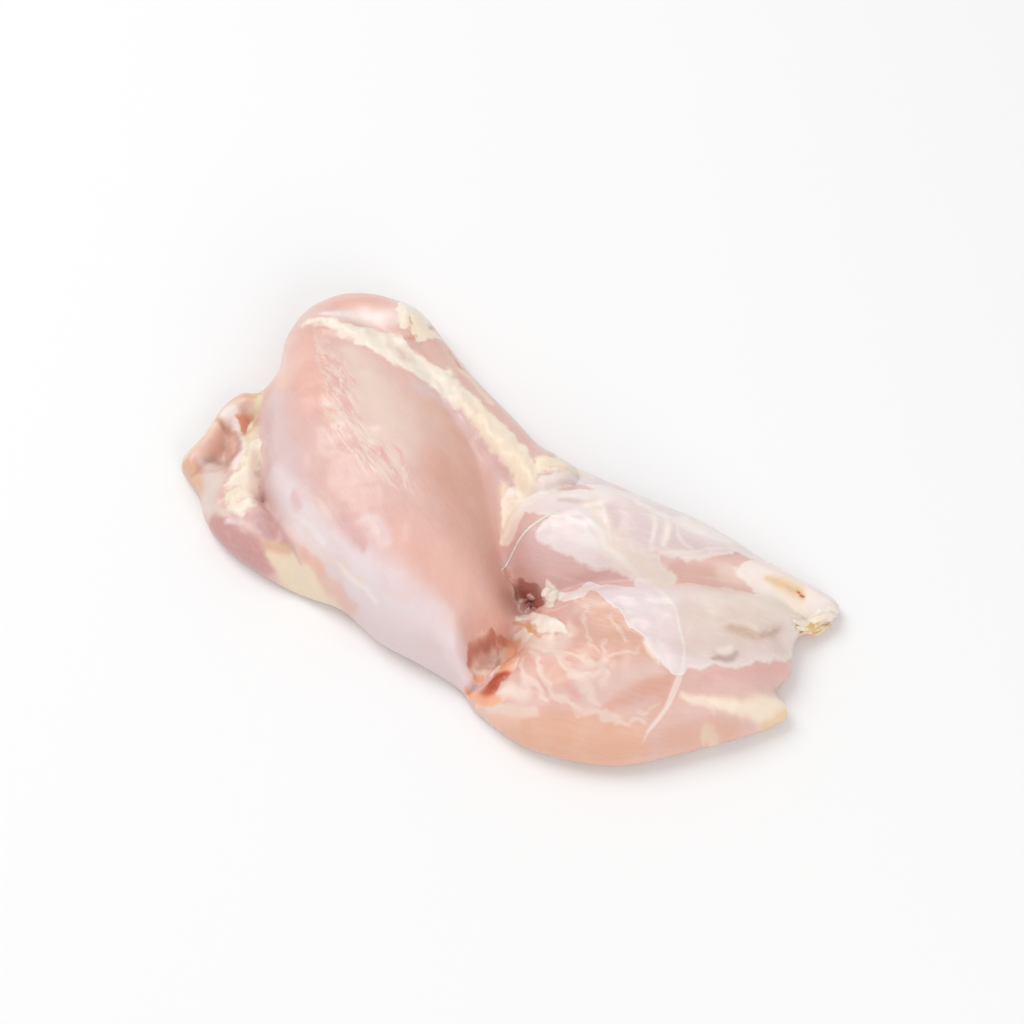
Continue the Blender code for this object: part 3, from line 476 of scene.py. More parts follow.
# Thin veins over the meat, then white threads and soft streaks over the skin: x, y, half width.
VEINS = [
    [(7, -41.5, 0.6), (8.5, -46, 0.9), (10, -50, 0.9), (12.5, -53.5, 0.9), (15.5, -56, 0.9),
        (20, -58, 0.9), (24.5, -59, 0.9), (29.5, -60, 0.6), (33, -60.5, 0.4)],
    [(10.5, -37.5, 1), (12.5, -42, 0.8), (14.5, -46, 0.9), (17.5, -49.5, 1.2), (20.5, -53, 1.3),
        (22.5, -56, 1)],
    [(14, -42.5, 0.4), (18, -44.5, 0.6), (22, -46, 0.8), (26, -45, 0.6), (33, -43.5, 0.4)],
    [(17, -48.5, 0.5), (21, -50, 0.6), (24, -48.5, 0.5), (24.5, -44.5, 0.4)],
    [(24.5, -40.5, 0.4), (24.5, -44.5, 0.5), (25, -48.5, 0.5), (24, -52, 0.5)],
    [(4, -43, 0.5), (5, -47.5, 0.8), (7, -51, 0.8), (10, -54.5, 0.6)],
    [(2.5, -35.5, 0.8), (6.5, -38.5, 1), (10, -41.5, 0.8)],
    [(20.5, -29.5, 0.4), (19.5, -34, 0.5), (20.5, -39.5, 0.5), (22.5, -43, 0.4)],
    [(26.5, -32, 0.3), (28, -37, 0.5), (30.5, -40.5, 0.5)],
    [(33, -58.5, 0.4), (35.5, -57, 0.5), (38, -56.5, 0.4)],
    [(45, -55.5, 0.4), (49, -56, 0.5), (51.5, -57.5, 0.5)],
    [(-56, -3, 0.4), (-53, -8.5, 0.6), (-49.5, -12.5, 0.7), (-46, -16, 0.8), (-42, -18.5, 0.5)],
    [(-51.5, 0.5, 0.4), (-49, -3, 0.5), (-46, -6, 0.6), (-43.5, -9, 0.5)],
    [(-41.5, -19.5, 0.5), (-38, -22.5, 0.6), (-34, -25, 0.5)],
]
THREADS = [
    [(36.5, -21.5, 0.2), (39.5, -27.5, 0.3), (42, -32, 0.4), (43, -37.5, 0.4), (44, -42.5, 0.4),
        (43.5, -47.5, 0.5), (42.3, -51, 0.8), (41, -54, 0.8), (39.5, -57, 0.6), (38.5, -58.3, 0.5),
        (37, -60, 0.5), (35, -62, 0.4), (33.5, -64.5, 0.1)],
]
STREAKS = [
    [(1, -6.5, 0.8), (2.5, -2, 1.1), (6, 1.5, 1.5), (10.5, 3, 1.5), (16.5, 1, 1.2), (21.5, -2, 0.5)],
    [(12, -5.5, 0.4), (16, -7, 0.7), (19.5, -10, 0.7), (21, -12.5, 0.7), (24, -15.5, 0.4)],
    [(18.5, -5.5, 0.5), (21.5, -8.5, 0.9), (24, -12.5, 1), (25.5, -15.5, 1), (29, -18, 0.9),
        (33.5, -20, 0.5)],
    [(24, -3.5, 0.3), (25.5, -8.5, 0.5), (26.5, -13.5, 0.3)],
    [(37, -6.5, 0.3), (37.5, -11, 0.6), (36.5, -14.5, 0.3)],
    [(40, -5.5, 0.4), (41, -11, 0.9), (39.5, -15, 0.4)],
    [(42.5, -8, 0.3), (44, -13, 0.5), (46.5, -15.5, 0.3)],
    [(29, 0.5, 0.5), (37.5, -5.5, 1.1), (46.5, -9.5, 1.5), (55.5, -11.5, 0.8)],
    [(34, -21, 0.3), (37.5, -25.5, 0.5), (40, -29.5, 0.4)],
    [(58, -13.5, 0.3), (49, -16, 0.4), (38.5, -17, 0.3)],
    [(35, -40.5, 1.2), (36.5, -44, 1.3), (38, -46, 1)],
    [(-55, -3, 0.2), (-50, -8.5, 0.5), (-45, -14.5, 0.4)],
    [(-42, -19, 0.2), (-37, -24, 0.5), (-31.5, -29, 0.3)],
]

# Painted crease shade: thin dark lines at the foot of the broad lobe and round the hollow of the flap: x, y,
# half width.
LOBE_FOOT_SHADE_LINES = [
    [(-63, 3, 0.2), (-61, 0.5, 0.4), (-58.5, -3.5, 0.5), (-56, -8.5, 0.4), (-53.5, -12.5, 0.2),
        (-51.5, -16, -0.2)],
]
HOLLOW_SHADE_LINES = [
    [(-75.5, 29, 0.2), (-72.5, 26, 0.3), (-71, 25.5, 0.35), (-69.5, 21, 0.4), (-69, 17.5, 0.35),
        (-71, 17, 0.2)],
]
SCUFFS = [
    [(-47, 42, 3), (-42.5, 31, 4), (-42.5, 21, 4.4), (-38.5, 12, 4.6), (-32, 5, 4.4), (-25, 0.5, 3)],
]

# Low places that skin and fat bridge, and the knob of fat on the cap: x, y, half width, height.
MOUNDS = [
    [(11, 6, 2, 0.8), (14, 6.8, 2.4, 2.2), (18, 8, 2.6, 3.8), (22, 8.3, 2.6, 3.6), (27, 8, 2.6, 2)],
    [(-22, 51, 3, 0.8), (-25, 53, 3.4, 1.6), (-25.5, 58, 3.2, 2.2)],
]


def smooth_path(rows, closed=False, steps=6):
    """Points read from a Catmull-Rom curve through the rows, with every column carried alike."""
    rows = np.array(rows, float)
    count = len(rows)
    if closed:
        padded = np.vstack([rows[-1], rows, rows[:2]])
    else:
        padded = np.vstack([2 * rows[0] - rows[1], rows, 2 * rows[-1] - rows[-2]])
    spans = count if closed else count - 1
    t = np.linspace(0, 1, steps, endpoint=False)[:, None]
    pieces = []
    for k in range(spans):
        a, b, c, d = padded[k : k + 4]
        pieces.append(
            0.5 * (2 * b + (c - a) * t + (2 * a - 5 * b + 4 * c - d) * t**2 + (3 * b - a - 3 * c + d) * t**3)
        )
    pieces.append(rows[:1] if closed else rows[-1:])
    return np.vstack(pieces)


def nearest_on(path, x, y):
    """How far each place is from a path, and the path's other columns where it is nearest."""
    gap = np.full(x.shape, np.inf)
    carried = np.zeros(x.shape + (path.shape[1] - 2,))
    for start, end in zip(path[:-1], path[1:]):
        run = end[:2] - start[:2]
        share = np.clip(((x - start[0]) * run[0] + (y - start[1]) * run[1]) / (run @ run), 0, 1)
        here = np.hypot(x - start[0] - share * run[0], y - start[1] - share * run[1])
        nearer = here < gap
        gap[nearer] = here[nearer]
        carried[nearer] = start[2:] + share[nearer, None] * (end[2:] - start[2:])
    return gap, carried


def bump_along(rows, x, y):
    """The last column of a path's rows where it is nearest, falling away as a bell over the half width."""
    gap, carried = nearest_on(smooth_path(rows), x, y)
    return carried[..., 1] * np.exp(-((gap / carried[..., 0]) ** 2))


def run_along(path):
    """How far each point of a path is from its start."""
    return np.concatenate([[0], np.cumsum(np.hypot(*np.diff(path[:, :2], axis=0).T))])


def thrown_along(dice, path, count):
    """Seeded places within the half width of a path, and the bearing from the path of each."""
    run = run_along(path)
    at = dice.uniform(0, run[-1], count)
    middle_x, middle_y, half = (np.interp(at, run, path[:, k]) for k in range(3))
    bearing = dice.uniform(0, 2 * math.pi, count)
    out = half * np.sqrt(dice.uniform(0, 1, count))
    return middle_x + out * np.cos(bearing), middle_y + out * np.sin(bearing), bearing


def soft_max(a, b, blend):
    """The larger of two heights, with the corner between them filled over the blend."""
    overlap = np.clip(1 - np.abs(a - b) / blend, 0, 1)
    return np.maximum(a, b) + overlap**2 * blend / 4


def ridge(rows, x, y):
    """A rounded ridge: each place takes a weighted mean of the nearest parts of the path."""
    squared = np.zeros(x.shape)
    crest = np.zeros(x.shape)
    weights = np.full(x.shape, 1e-30)
    for px, py, half, high in smooth_path(rows, steps=4):
        away = ((x - px) ** 2 + (y - py) ** 2) / half**2
        weight = np.exp(-8 * away)
        squared += weight * away
        crest += weight * high
        weights += weight
    away = np.clip(squared / weights, 0, 1)
    return crest / weights * np.sqrt(1 - away**1.2)


def scattered_beads(rows, density, seed):
    """Seeded round beads along a path, so many a millimetre of run: middles, radii and heights."""
    dice = np.random.default_rng(seed)
    path = smooth_path(rows)
    count = int(run_along(path)[-1] * density)
    x, y, _ = thrown_along(dice, path, count)
    return x, y, dice.uniform(*BEAD_RADIUS, count), dice.uniform(*BEAD_HEIGHT, count)


def fat_beads(x, y):
    """Low round beads of fat scattered along the paths, the highest one counting at each place."""
    height = np.zeros(x.shape)
    for rows, density, seed in BEADS:
        for bx, by, radius, high in zip(*scattered_beads(rows, density, seed)):
            away = np.hypot(x - bx, y - by)
            height = soft_max(height, BEAD_SHOWING * high * (1 - (away / radius) ** 2), BEAD_BLEND)
    return height


def back_height(x, y):
    """The height of the meat over the board before its edge is rounded."""
    height = np.full(x.shape, float(THIN))
    for rows in MUSCLES.values():
        height = soft_max(height, ridge(rows, x, y), MUSCLE_BLEND)
    for rows in FAT.values():
        height += bump_along(rows, x, y)
    for rows in CUTS.values():
        height = soft_max(height - bump_along(rows, x, y), LEFT_IN_CUT * height, CUT_BLEND)
    return height + fat_beads(x, y)


def ripple(x, y, wavelength, seed):
    """Smooth noise about zero, mostly within one: plane waves of near lengths in seeded directions."""
    dice = np.random.default_rng(seed)
    total = np.zeros(x.shape)
    bearings = dice.uniform(0, math.pi, WAVES)
    stretches = dice.uniform(0.7, 1.5, WAVES)
    phases = dice.uniform(0, 2 * math.pi, WAVES)
    for bearing, stretch, phase in zip(bearings, stretches, phases):
        turns = 2 * math.pi / (wavelength * stretch)
        total += np.sin((x * math.cos(bearing) + y * math.sin(bearing)) * turns + phase)
    return total * math.sqrt(2 / WAVES) / 1.6


def signed_field(bands, x, y, sharpness=1.0):
    """How many millimetres inside the nearest band each place is, times the sharpness."""
    field = np.full(x.shape, OUTSIDE)
    for rows in bands:
        gap, carried = nearest_on(smooth_path(rows, steps=4), x, y)
        field = np.maximum(field, carried[..., 0] - gap)
    return sharpness * field


def shaken(x, y, size, wavelength, seed):
    """Places moved by ripples of two lengths, so that what is drawn there gets an uneven edge."""
    moved_x = x + size * (ripple(x, y, wavelength, seed) + 0.4 * ripple(x, y, 0.4 * wavelength, seed + 1))
    moved_y = y + size * (ripple(x, y, wavelength, seed + 2) + 0.4 * ripple(x, y, 0.4 * wavelength, seed + 3))
    return moved_x, moved_y


def surface_fields(x, y):
    """The signed fields of fat, skin, cuts, veins and threads."""
    at = {name: shaken(x, y, *shake) for name, shake in SHAKES.items()}
    fat = signed_field(FAT_BANDS, *at["fat"])
    soft_fat = signed_field(SOFT_FAT_BANDS, *at["fat"], SOFT_FAT)
    skin = signed_field(SKIN_BANDS, *at["skin"])
    soft_skin = signed_field(SOFT_SKIN_BANDS, *at["skin"], SOFT_SKIN)
    streaks = signed_field(STREAKS, *at["streak"], SOFT_STREAK)
    return {
        "fat": np.maximum(fat, soft_fat),
        "skin": np.maximum(skin, soft_skin),
        "cut": signed_field(CUT_BANDS, *at["cut"]),
        "vein": signed_field(VEINS, *at["vein"]),
        "thread": np.maximum(signed_field(THREADS, x, y), streaks),
    }


def step(low, high, value):
    """Zero below low, one above high, and a smooth rise between."""
    t = np.clip((value - low) / (high - low), 0, 1)
    return t * t * (3 - 2 * t)


def fine_relief(x, y, fields):
    """Relief too fine for the solid: the thickness of fat, skin and threads, rough cuts, slow ripples."""
    fat, skin, cut = fields["fat"], fields["skin"], fields["cut"]
    relief = 0.2 * ripple(x, y, 11, 51) + 0.08 * ripple(x, y, 5, 52)
    relief += step(-0.2, 0.3, skin) * SKIN_THICKNESS + SKIN_LIP * np.exp(-((skin / 0.5) ** 2))
    relief += step(0, 1, skin) * 0.1 * ripple(x, y, 4.5, 55)
    relief += THREAD_HEIGHT * np.clip(1 - (np.minimum(fields["thread"], 1) - 1) ** 2, 0, 1)
    relief += VEIN_HEIGHT * step(-0.6, 0.6, fields["vein"])
    lumpy = 0.35 * ripple(x, y, 6, 53) + 0.16 * ripple(x, y, 2.8, 54)
    relief += step(-0.3, 1, fat) * (FAT_THICKNESS + lumpy)
    for rows in MOUNDS:
        relief += bump_along(rows, x, y)
    relief -= step(-0.2, 0.8, cut) * (CUT_DEPTH + 0.35 * ripple(x, y, 2.8, 56))
    return relief


def outline_in_steps(count):
    """Places on the outline at equal steps round it."""
    ring = smooth_path(OUTLINE, closed=True, steps=16)
    run = run_along(ring)
    at = np.linspace(0, run[-1], count, endpoint=False)
    return np.stack([np.interp(at, run, ring[:, 0]), np.interp(at, run, ring[:, 1])], axis=1)


RIM = outline_in_steps(RIM_POINTS)
PLAN_MIDDLE = (RIM.min(axis=0) + RIM.max(axis=0)) / 2


def edge_rounding(x, y, height):
    """One well inside the outline, falling along a quarter circle to zero on it."""
    inward, _ = nearest_on(smooth_path(OUTLINE, closed=True), x, y)
    share, least, most = ROUNDED
    short_of = 1 - np.clip(inward / np.clip(share * height, least, most), 0, 1)
    return np.sqrt(1 - short_of**2)


def meat_height(x, y, fields):
    """The height of the back with its fine relief, before its edge is rounded."""
    return np.maximum(back_height(x, y) + fine_relief(x, y, fields), THINNEST)


def edge_height(height):
    """How high the widest line of the rim lies where the meat is so high."""
    return np.clip(0.4 * height, 1.6, 6)


def surface_height(x, y):
    """The height of the finished back at places well inside the outline."""
    height = meat_height(x, y, surface_fields(x, y))
    edge = edge_height(height)
    return edge + (height - edge) * edge_rounding(x, y, height)


def towards_rim(share):
    """Places on rings that are so large a share of the outline about the pole."""
    return POLE[0] + share * (RIM[:, 0] - POLE[0]), POLE[1] + share * (RIM[:, 1] - POLE[1])


def back_rings():
    """Rings from the pole to the rim, closer together near the rim, their fields and the rim's height."""
    even = np.linspace(0, 1, RINGS + 1)[1:, None]
    x, y = towards_rim(0.55 * np.sin(even * math.pi / 2) + 0.45 * even)
    fields = surface_fields(x, y)
    height = meat_height(x, y, fields)
    edge = edge_height(height[-1])
    weights = np.ones(2 * RIM_EVENED + 1) / (2 * RIM_EVENED + 1)
    edge = np.convolve(np.r_[edge[-RIM_EVENED:], edge, edge[:RIM_EVENED]], weights, "valid")
    rounding = edge_rounding(x, y, height)
    rounding[-1] = 0
    return np.stack([x, y, edge + (height - edge) * rounding], axis=-1), fields, edge


def under_rings(edge):
    """Rings from the rim in to the pole, wider apart as they go, down a quarter of an ellipse."""
    steps = np.cumsum(np.linspace(0.2, 1, UNDER_RINGS) ** 2)
    x, y = towards_rim(1 - (steps / steps[-1])[:-1, None])
    inward, _ = nearest_on(smooth_path(OUTLINE, closed=True), x, y)
    short_of = 1 - np.clip(inward / (1.2 + 0.9 * edge), 0, 1)
    return np.stack([x, y, edge * (1 - np.sqrt(1 - short_of**2))], axis=-1)


def thigh_rings():
    """All rings from the pole over the rim to the pole underneath, and the fields on them."""
    back, fields, edge = back_rings()
    underneath = under_rings(edge)
    count, around = underneath.shape[:2]
    outside = np.full((count, around), OUTSIDE)
    fields = {name: np.concatenate([values, outside]) for name, values in fields.items()}
    below = np.zeros((count, around)) + step(0, 5, np.arange(1, count + 1))[:, None]
    fields["below"] = np.concatenate([np.zeros(back.shape[:2]), below])
    return np.concatenate([back, underneath]), fields


def to_linear(colour):
    """Screen colour out of 255, as linear light, less the wet sheen that the light adds to it."""
    part = np.clip(np.asarray(colour, float) / 255, 0, 1)
    light = np.where(part <= 0.04045, part / 12.92, ((part + 0.055) / 1.055) ** 2.4)
    return np.clip(light - SHEEN, DARKEST, LIGHTEST)


def painted(strokes, ground, x, y):
    """The colour of every place: strokes laid one over another on a ground, with soft, shaken edges."""
    sx, sy = shaken(x, y, *SHAKES["stroke"])
    colour = np.zeros(x.shape + (3,)) + COLOURS[ground]
    for name, strength, hardness, rows in strokes:
        gap, carried = nearest_on(smooth_path(rows, steps=3), sx, sy)
        share = strength / (1 + np.exp(np.clip((gap / carried[..., 0] - 1) * hardness, -30, 30)))
        colour += share[..., None] * (np.array(COLOURS[name]) - colour)
    return colour


def scuff_strokes(count=70, seed=97):
    """Short strokes near the grain, pale and dark by turns, thrown over the scuffed band."""
    dice = np.random.default_rng(seed)
    path = smooth_path(SCUFFS[0])
    strokes = []
    for k in range(count):
        middle_x, middle_y, half = path[dice.integers(len(path))]
        x, y = middle_x + dice.uniform(-1, 1) * half, middle_y + dice.uniform(-1, 1) * half
        bearing = LOBE_GRAIN + dice.normal() * 0.16
        reach = dice.uniform(1.5, 4.5)
        run_x, run_y = math.cos(bearing) * reach, math.sin(bearing) * reach
        name, wide = (("sand", 0.75), ("rose", 0.45))[k % 2]
        width = wide * dice.uniform(0.6, 1.2)
        rows = [(x - run_x, y - run_y, 0.4 * width), (x, y, width), (x + run_x, y + run_y, 0.4 * width)]
        strokes.append((name, dice.uniform(0.35, 0.75), 4, rows))
    return strokes


def place_in_frame(points):
    """Plan millimetres as metres about the middle of the plan, where the row's frame has its origin."""
    points = np.array(points, float)
    points[..., :2] -= PLAN_MIDDLE
    return points * MM


def new_piece(name, points, faces, material):
    """An object at the origin with its place in its mesh, riding on the thigh."""
    mesh = bpy.data.meshes.new(name)
    mesh.from_pydata(place_in_frame(points).tolist(), [], faces)
    mesh.update()
    mesh.shade_smooth()
    mesh.materials.append(material)
    piece = bpy.data.objects.new(name, mesh)
    bpy.context.scene.collection.objects.link(piece)
    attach(piece, "root")
    return piece


def ring_faces(count, around):
    """Quads between rings of points, with a fan at each end to the two points that follow the rings."""
    index = np.arange(count * around).reshape(count, around)
    after = np.roll(index, -1, axis=1)
    quads = np.stack([index[:-1], index[1:], after[1:], after[:-1]], axis=-1).reshape(-1, 4)
    first, last = count * around, count * around + 1
    first_fan = np.stack([np.full(around, first), index[0], after[0]], axis=-1)
    last_fan = np.stack([np.full(around, last), after[-1], index[-1]], axis=-1)
    return quads.tolist() + first_fan.tolist() + last_fan.tolist()


class Wire:
    """A shader socket on which sums are written as plain arithmetic."""

    def __init__(self, tree, socket):
        self.tree = tree
        self.socket = socket

    def worked(self, operation, first, second):
        node = add_node(self.tree, "ShaderNodeMath", {"operation": operation}, {0: first, 1: second})
        return Wire(self.tree, node.outputs[0])

    def __add__(self, other):
        return self.worked("ADD", self, other)

    def __sub__(self, other):
        return self.worked("SUBTRACT", self, other)

    def __rsub__(self, other):
        return self.worked("SUBTRACT", other, self)

    def __mul__(self, other):
        return self.worked("MULTIPLY", self, other)

    def __pow__(self, other):
        return self.worked("POWER", self, other)

    __radd__ = __add__
    __rmul__ = __mul__

    def larger(self, other):
        return self.worked("MAXIMUM", self, other)

    def smaller(self, other):
        return self.worked("MINIMUM", self, other)

    def between(self, low, high):
        """Zero below low and one above high, with a smooth rise between."""
        settings = {"interpolation_type": "SMOOTHSTEP"}
        sockets = {"Value": self, "From Min": low, "From Max": high, "To Min": 0.0, "To Max": 1.0}
        return Wire(self.tree, add_node(self.tree, "ShaderNodeMapRange", settings, sockets).outputs["Result"])


def add_node(tree, kind, settings=None, sockets=None):
    """A node of one kind, with its settings made first and then its sockets filled or linked."""
    node = tree.nodes.new(kind)
    for name, value in (settings or {}).items():
        setattr(node, name, value)
    for name, value in (sockets or {}).items():
        if isinstance(value, Wire):
            tree.links.new(value.socket, node.inputs[name])
        else:
            node.inputs[name].default_value = value
    return node


def mixed(tree, share, first, second):
    """Two colours mixed by a share."""
    settings = {"data_type": "RGBA", "clamp_factor": True}
    node = add_node(tree, "ShaderNodeMix", settings, {0: share, 6: first, 7: second})
    return Wire(tree, node.outputs[2])


def colour_of(name):
    """A named colour as a shader's red, green, blue and alpha."""
    return (*to_linear(COLOURS[name]), 1.0)


def coated(tree, colour, coats):
    """A colour with named colours laid over it in turn, each by its share."""
    for share, name in coats:
        colour = mixed(tree, share, colour, colour_of(name))
    return colour


def attribute(tree, name, output="Fac"):
    """What the mesh carries under a name."""
    return Wire(tree, add_node(tree, "ShaderNodeAttribute", {"attribute_name": name}).outputs[output])


def object_places(tree):
    """Places on the object in metres."""
    return Wire(tree, add_node(tree, "ShaderNodeTexCoord").outputs["Object"])


def noise(tree, places, per_metre, detail=2.0, roughness=0.5, distortion=0.0):
    """Cloudy noise about one half, so many lumps a metre."""
    sockets = {"Vector": places, "Scale": per_metre, "Detail": detail}
    sockets |= {"Roughness": roughness, "Distortion": distortion}
    return Wire(tree, add_node(tree, "ShaderNodeTexNoise", None, sockets).outputs["Fac"])


def inside_lines(tree, places, lines):
    """How many millimetres inside the nearest line of a table each place is: half width less distance."""
    split = add_node(tree, "ShaderNodeSeparateXYZ", None, {0: places})
    x = Wire(tree, split.outputs[0]) * 1000.0 + float(PLAN_MIDDLE[0])
    y = Wire(tree, split.outputs[1]) * 1000.0 + float(PLAN_MIDDLE[1])
    inside = None
    for rows in lines:
        for (x0, y0, half0), (x1, y1, half1) in zip(rows[:-1], rows[1:]):
            run_x, run_y = x1 - x0, y1 - y0
            squared = run_x**2 + run_y**2
            from_x, from_y = x - x0, y - y0
            share = (from_x * (run_x / squared) + from_y * (run_y / squared)).larger(0.0).smaller(1.0)
            gap_x, gap_y = from_x - share * run_x, from_y - share * run_y
            here = share * (half1 - half0) + half0 - (gap_x * gap_x + gap_y * gap_y) ** 0.5
            inside = here if inside is None else inside.larger(here)
    return inside


def grain_noise(tree, places, bearing, across, along, detail, roughness, distortion=0.0):
    """Noise in lines along a bearing, so many a metre across it and along it."""
    sockets = {"Vector": places, "Rotation": (0, 0, bearing)}
    turned = Wire(tree, add_node(tree, "ShaderNodeMapping", {"vector_type": "TEXTURE"}, sockets).outputs[0])
    sockets = {"Vector": turned, "Scale": (along, across, across)}
    scaled = Wire(tree, add_node(tree, "ShaderNodeMapping", None, sockets).outputs[0])
    return noise(tree, scaled, 1.0, detail, roughness, distortion)


BUMP_HEIGHT = 0.0006
GLOW_RADIUS = (1.0, 0.5, 0.4)
GLOW_REACH = 0.002
MEAT_IOR = 1.4
WATER_IOR = 1.33
COAT_ROUGHNESS = 0.16


def wet_shader(material, colour, roughness, height, bump_strength, subsurface, coat=0.35):
    """Wires a wet, slightly translucent surface and gives its fixed values."""
    tree = material.node_tree
    shader = tree.nodes["Principled BSDF"]
    tree.links.new(colour.socket, shader.inputs["Base Color"])
    tree.links.new(roughness.socket, shader.inputs["Roughness"])
    sockets = {"Strength": bump_strength, "Distance": BUMP_HEIGHT, "Height": height}
    bump = add_node(tree, "ShaderNodeBump", None, sockets)
    tree.links.new(bump.outputs[0], shader.inputs["Normal"])
    fixed = {
        "Subsurface Weight": subsurface, "Subsurface Radius": GLOW_RADIUS, "Subsurface Scale": GLOW_REACH,
        "IOR": MEAT_IOR, "Coat Weight": coat, "Coat Roughness": COAT_ROUGHNESS, "Coat IOR": WATER_IOR,
    }
    for name, value in fixed.items():
        shader.inputs[name].default_value = value


def new_material(name):
    """An empty material whose tree holds a Principled shader."""
    material = bpy.data.materials.new(name)
    material.use_nodes = True
    return material, material.node_tree


# The bearings that the muscle fibres follow, and how many lines a metre there are across and along them.
LOBE_GRAIN = math.radians(-58)
RIGHT_GRAIN = math.radians(-14)
LOBE_FIBRES = (1500.0, 130.0)
RIGHT_FIBRES = (1300.0, 120.0)
SCUFF_LINES = (700.0, 120.0)
CROSSING_LINES = (500.0, 130.0)
FLECK_LINES = (150.0, 60.0)
SINEW_LINES = (2200.0, 200.0)


def meat_material():
    """Pink muscle with fine fibres, then veins, silver skin, threads, fat and cuts, each over the last, and
    painted crease shade over all.
    """
    material, tree = new_material("wet_raw_meat")
    places = object_places(tree)
    lobe = attribute(tree, "lobe")
    scuffed = attribute(tree, "scuffed")
    below = attribute(tree, "below")
    lobe_fibres = grain_noise(tree, places, LOBE_GRAIN, *LOBE_FIBRES, 3.0, 0.6)
    right_fibres = grain_noise(tree, places, RIGHT_GRAIN, *RIGHT_FIBRES, 3.0, 0.6)
    fibres = lobe * lobe_fibres + (1 - lobe) * right_fibres
    cloud = noise(tree, places, 90.0, 4.0, 0.55)
    speck = noise(tree, places, 900.0, 3.0, 0.6)
    scuff = grain_noise(tree, places, LOBE_GRAIN, *SCUFF_LINES, 3.0, 0.6, 0.6)
    crossing = grain_noise(tree, places, LOBE_GRAIN - 0.5, *CROSSING_LINES, 2.0, 0.5, 0.4)
    film = noise(tree, places, 45.0, 3.0, 0.5, 0.6)
    flecks = grain_noise(tree, places, RIGHT_GRAIN, *FLECK_LINES, 4.0, 0.6, 0.8)
    wobble = (speck - 0.5) * 0.6
    on_vein = (attribute(tree, "vein") + wobble * 0.8).between(-0.6, 0.6)
    colour = coated(tree, attribute(tree, "tint", "Color"), [
        (fibres.between(0.35, 0.75) * 0.16, "pale"),
        ((1 - cloud.between(0.3, 0.55)) * 0.16, "deep_peach"),
        (cloud.between(0.52, 0.72) * 0.18, "pale"),
        (scuff.between(0.52, 0.6).larger(crossing.between(0.6, 0.68)) * scuffed * 0.8, "sand"),
        ((1 - scuff.between(0.38, 0.45)) * scuffed * 0.6, "rose"),
        (film.between(0.5, 0.62) * below * 0.6, "silver"),
        (flecks.between(0.55, 0.63) * below * 0.8, "yellow_cream"),
        (on_vein * 0.65, "sand"),
    ])
    skin = attribute(tree, "skin") + wobble * 0.45
    on_skin = skin.between(-0.12, 0.2)
    skin_colour = attribute(tree, "skin_tint", "Color")
    skin_colour = coated(tree, skin_colour, [(right_fibres.between(0.5, 0.75) * 0.3, "cream")])
    colour = mixed(tree, on_skin * (0.95 - (1 - cloud.between(0.3, 0.6)) * 0.15), colour, skin_colour)
    lip = on_skin * (1 - skin.between(0.1, 0.4))
    on_thread = (attribute(tree, "thread") + wobble * 0.3).between(-0.25, 0.35)
    colour = coated(tree, colour, [(lip * 0.3, "cream"), (on_thread * 0.5, "skin_white")])
    on_fat = (attribute(tree, "fat") + wobble + (cloud - 0.5) * 1.2).between(-0.25, 0.45)
    fat_colour = attribute(tree, "fat_tint", "Color")
    fat_colour = coated(tree, fat_colour, [(speck.between(0.5, 0.8) * 0.3, "sand")])
    colour = mixed(tree, on_fat * 0.94, colour, fat_colour)
    on_cut = (attribute(tree, "cut") + wobble).between(-0.25, 0.25)
    cut_colour = attribute(tree, "cut_tint", "Color")
    cut_colour = coated(tree, cut_colour, [(speck.between(0.6, 0.72) * 0.3, "pale")])
    colour = mixed(tree, on_cut * 0.96, colour, cut_colour)
    # Painted shade in the crease at the foot of the broad lobe and round the hollow of the flap.
    on_lobe_foot_shade = (inside_lines(tree, places, LOBE_FOOT_SHADE_LINES) + wobble * 0.4).between(-0.7, 0.3)
    on_hollow_shade = (inside_lines(tree, places, HOLLOW_SHADE_LINES) + wobble * 0.6).between(-1.2, 0.3)
    colour = coated(tree, colour, [
        (on_lobe_foot_shade * (1 - below) * 0.5, "crease_shade_mauve"),
        (on_hollow_shade * (1 - below) * 0.75, "hollow_shade_brown"),
    ])
    roughness = 0.34 + (speck - 0.5) * 0.25 + on_fat * 0.12
    height = fibres * 0.35 + speck * 0.25 + cloud * 0.4 + scuff * scuffed * 0.9 + on_cut * speck * 0.8
    wet_shader(material, colour, roughness, height, 0.35, 0.3)
    return material


def fat_material():
    """Soft cream fat that drifts to a warmer yellow in cloudy patches, with pale specks."""
    material, tree = new_material("soft_fat")
    places = object_places(tree)
    speck = noise(tree, places, 700.0, 3.0, 0.6)
    cloud = noise(tree, places, 160.0, 2.0, 0.5)
    colour = mixed(tree, cloud.between(0.35, 0.65), colour_of("yellow_fat"), colour_of("skin_cream"))
    colour = mixed(tree, speck.between(0.55, 0.8) * 0.3, colour, colour_of("pale"))
    wet_shader(material, colour, 0.5 + (speck - 0.5) * 0.2, speck * 0.6 + cloud * 0.4, 0.25, 0.1, 0.12)
    return material


def sinew_material():
    """White sinew with fine lines along it."""
    material, tree = new_material("white_sinew")
    places = object_places(tree)
    line = grain_noise(tree, places, RIGHT_GRAIN, *SINEW_LINES, 2.0, 0.5)
    colour = mixed(tree, line.between(0.35, 0.65), colour_of("skin_cream"), colour_of("cream"))
    wet_shader(material, colour, 0.32 + (line - 0.5) * 0.2, line, 0.3, 0.1, 0.4)
    return material


def cloudy_material(name, lumps_a_metre, low, high, roughness, bump, subsurface, coat):
    """A wet surface that drifts between two named colours."""
    material, tree = new_material(name)
    cloud = noise(tree, object_places(tree), lumps_a_metre, 3.0, 0.6)
    colour = mixed(tree, cloud.between(0.35, 0.65), colour_of(low), colour_of(high))
    wet_shader(material, colour, roughness + (cloud - 0.5) * 0.2, cloud, bump, subsurface, coat)
    return material


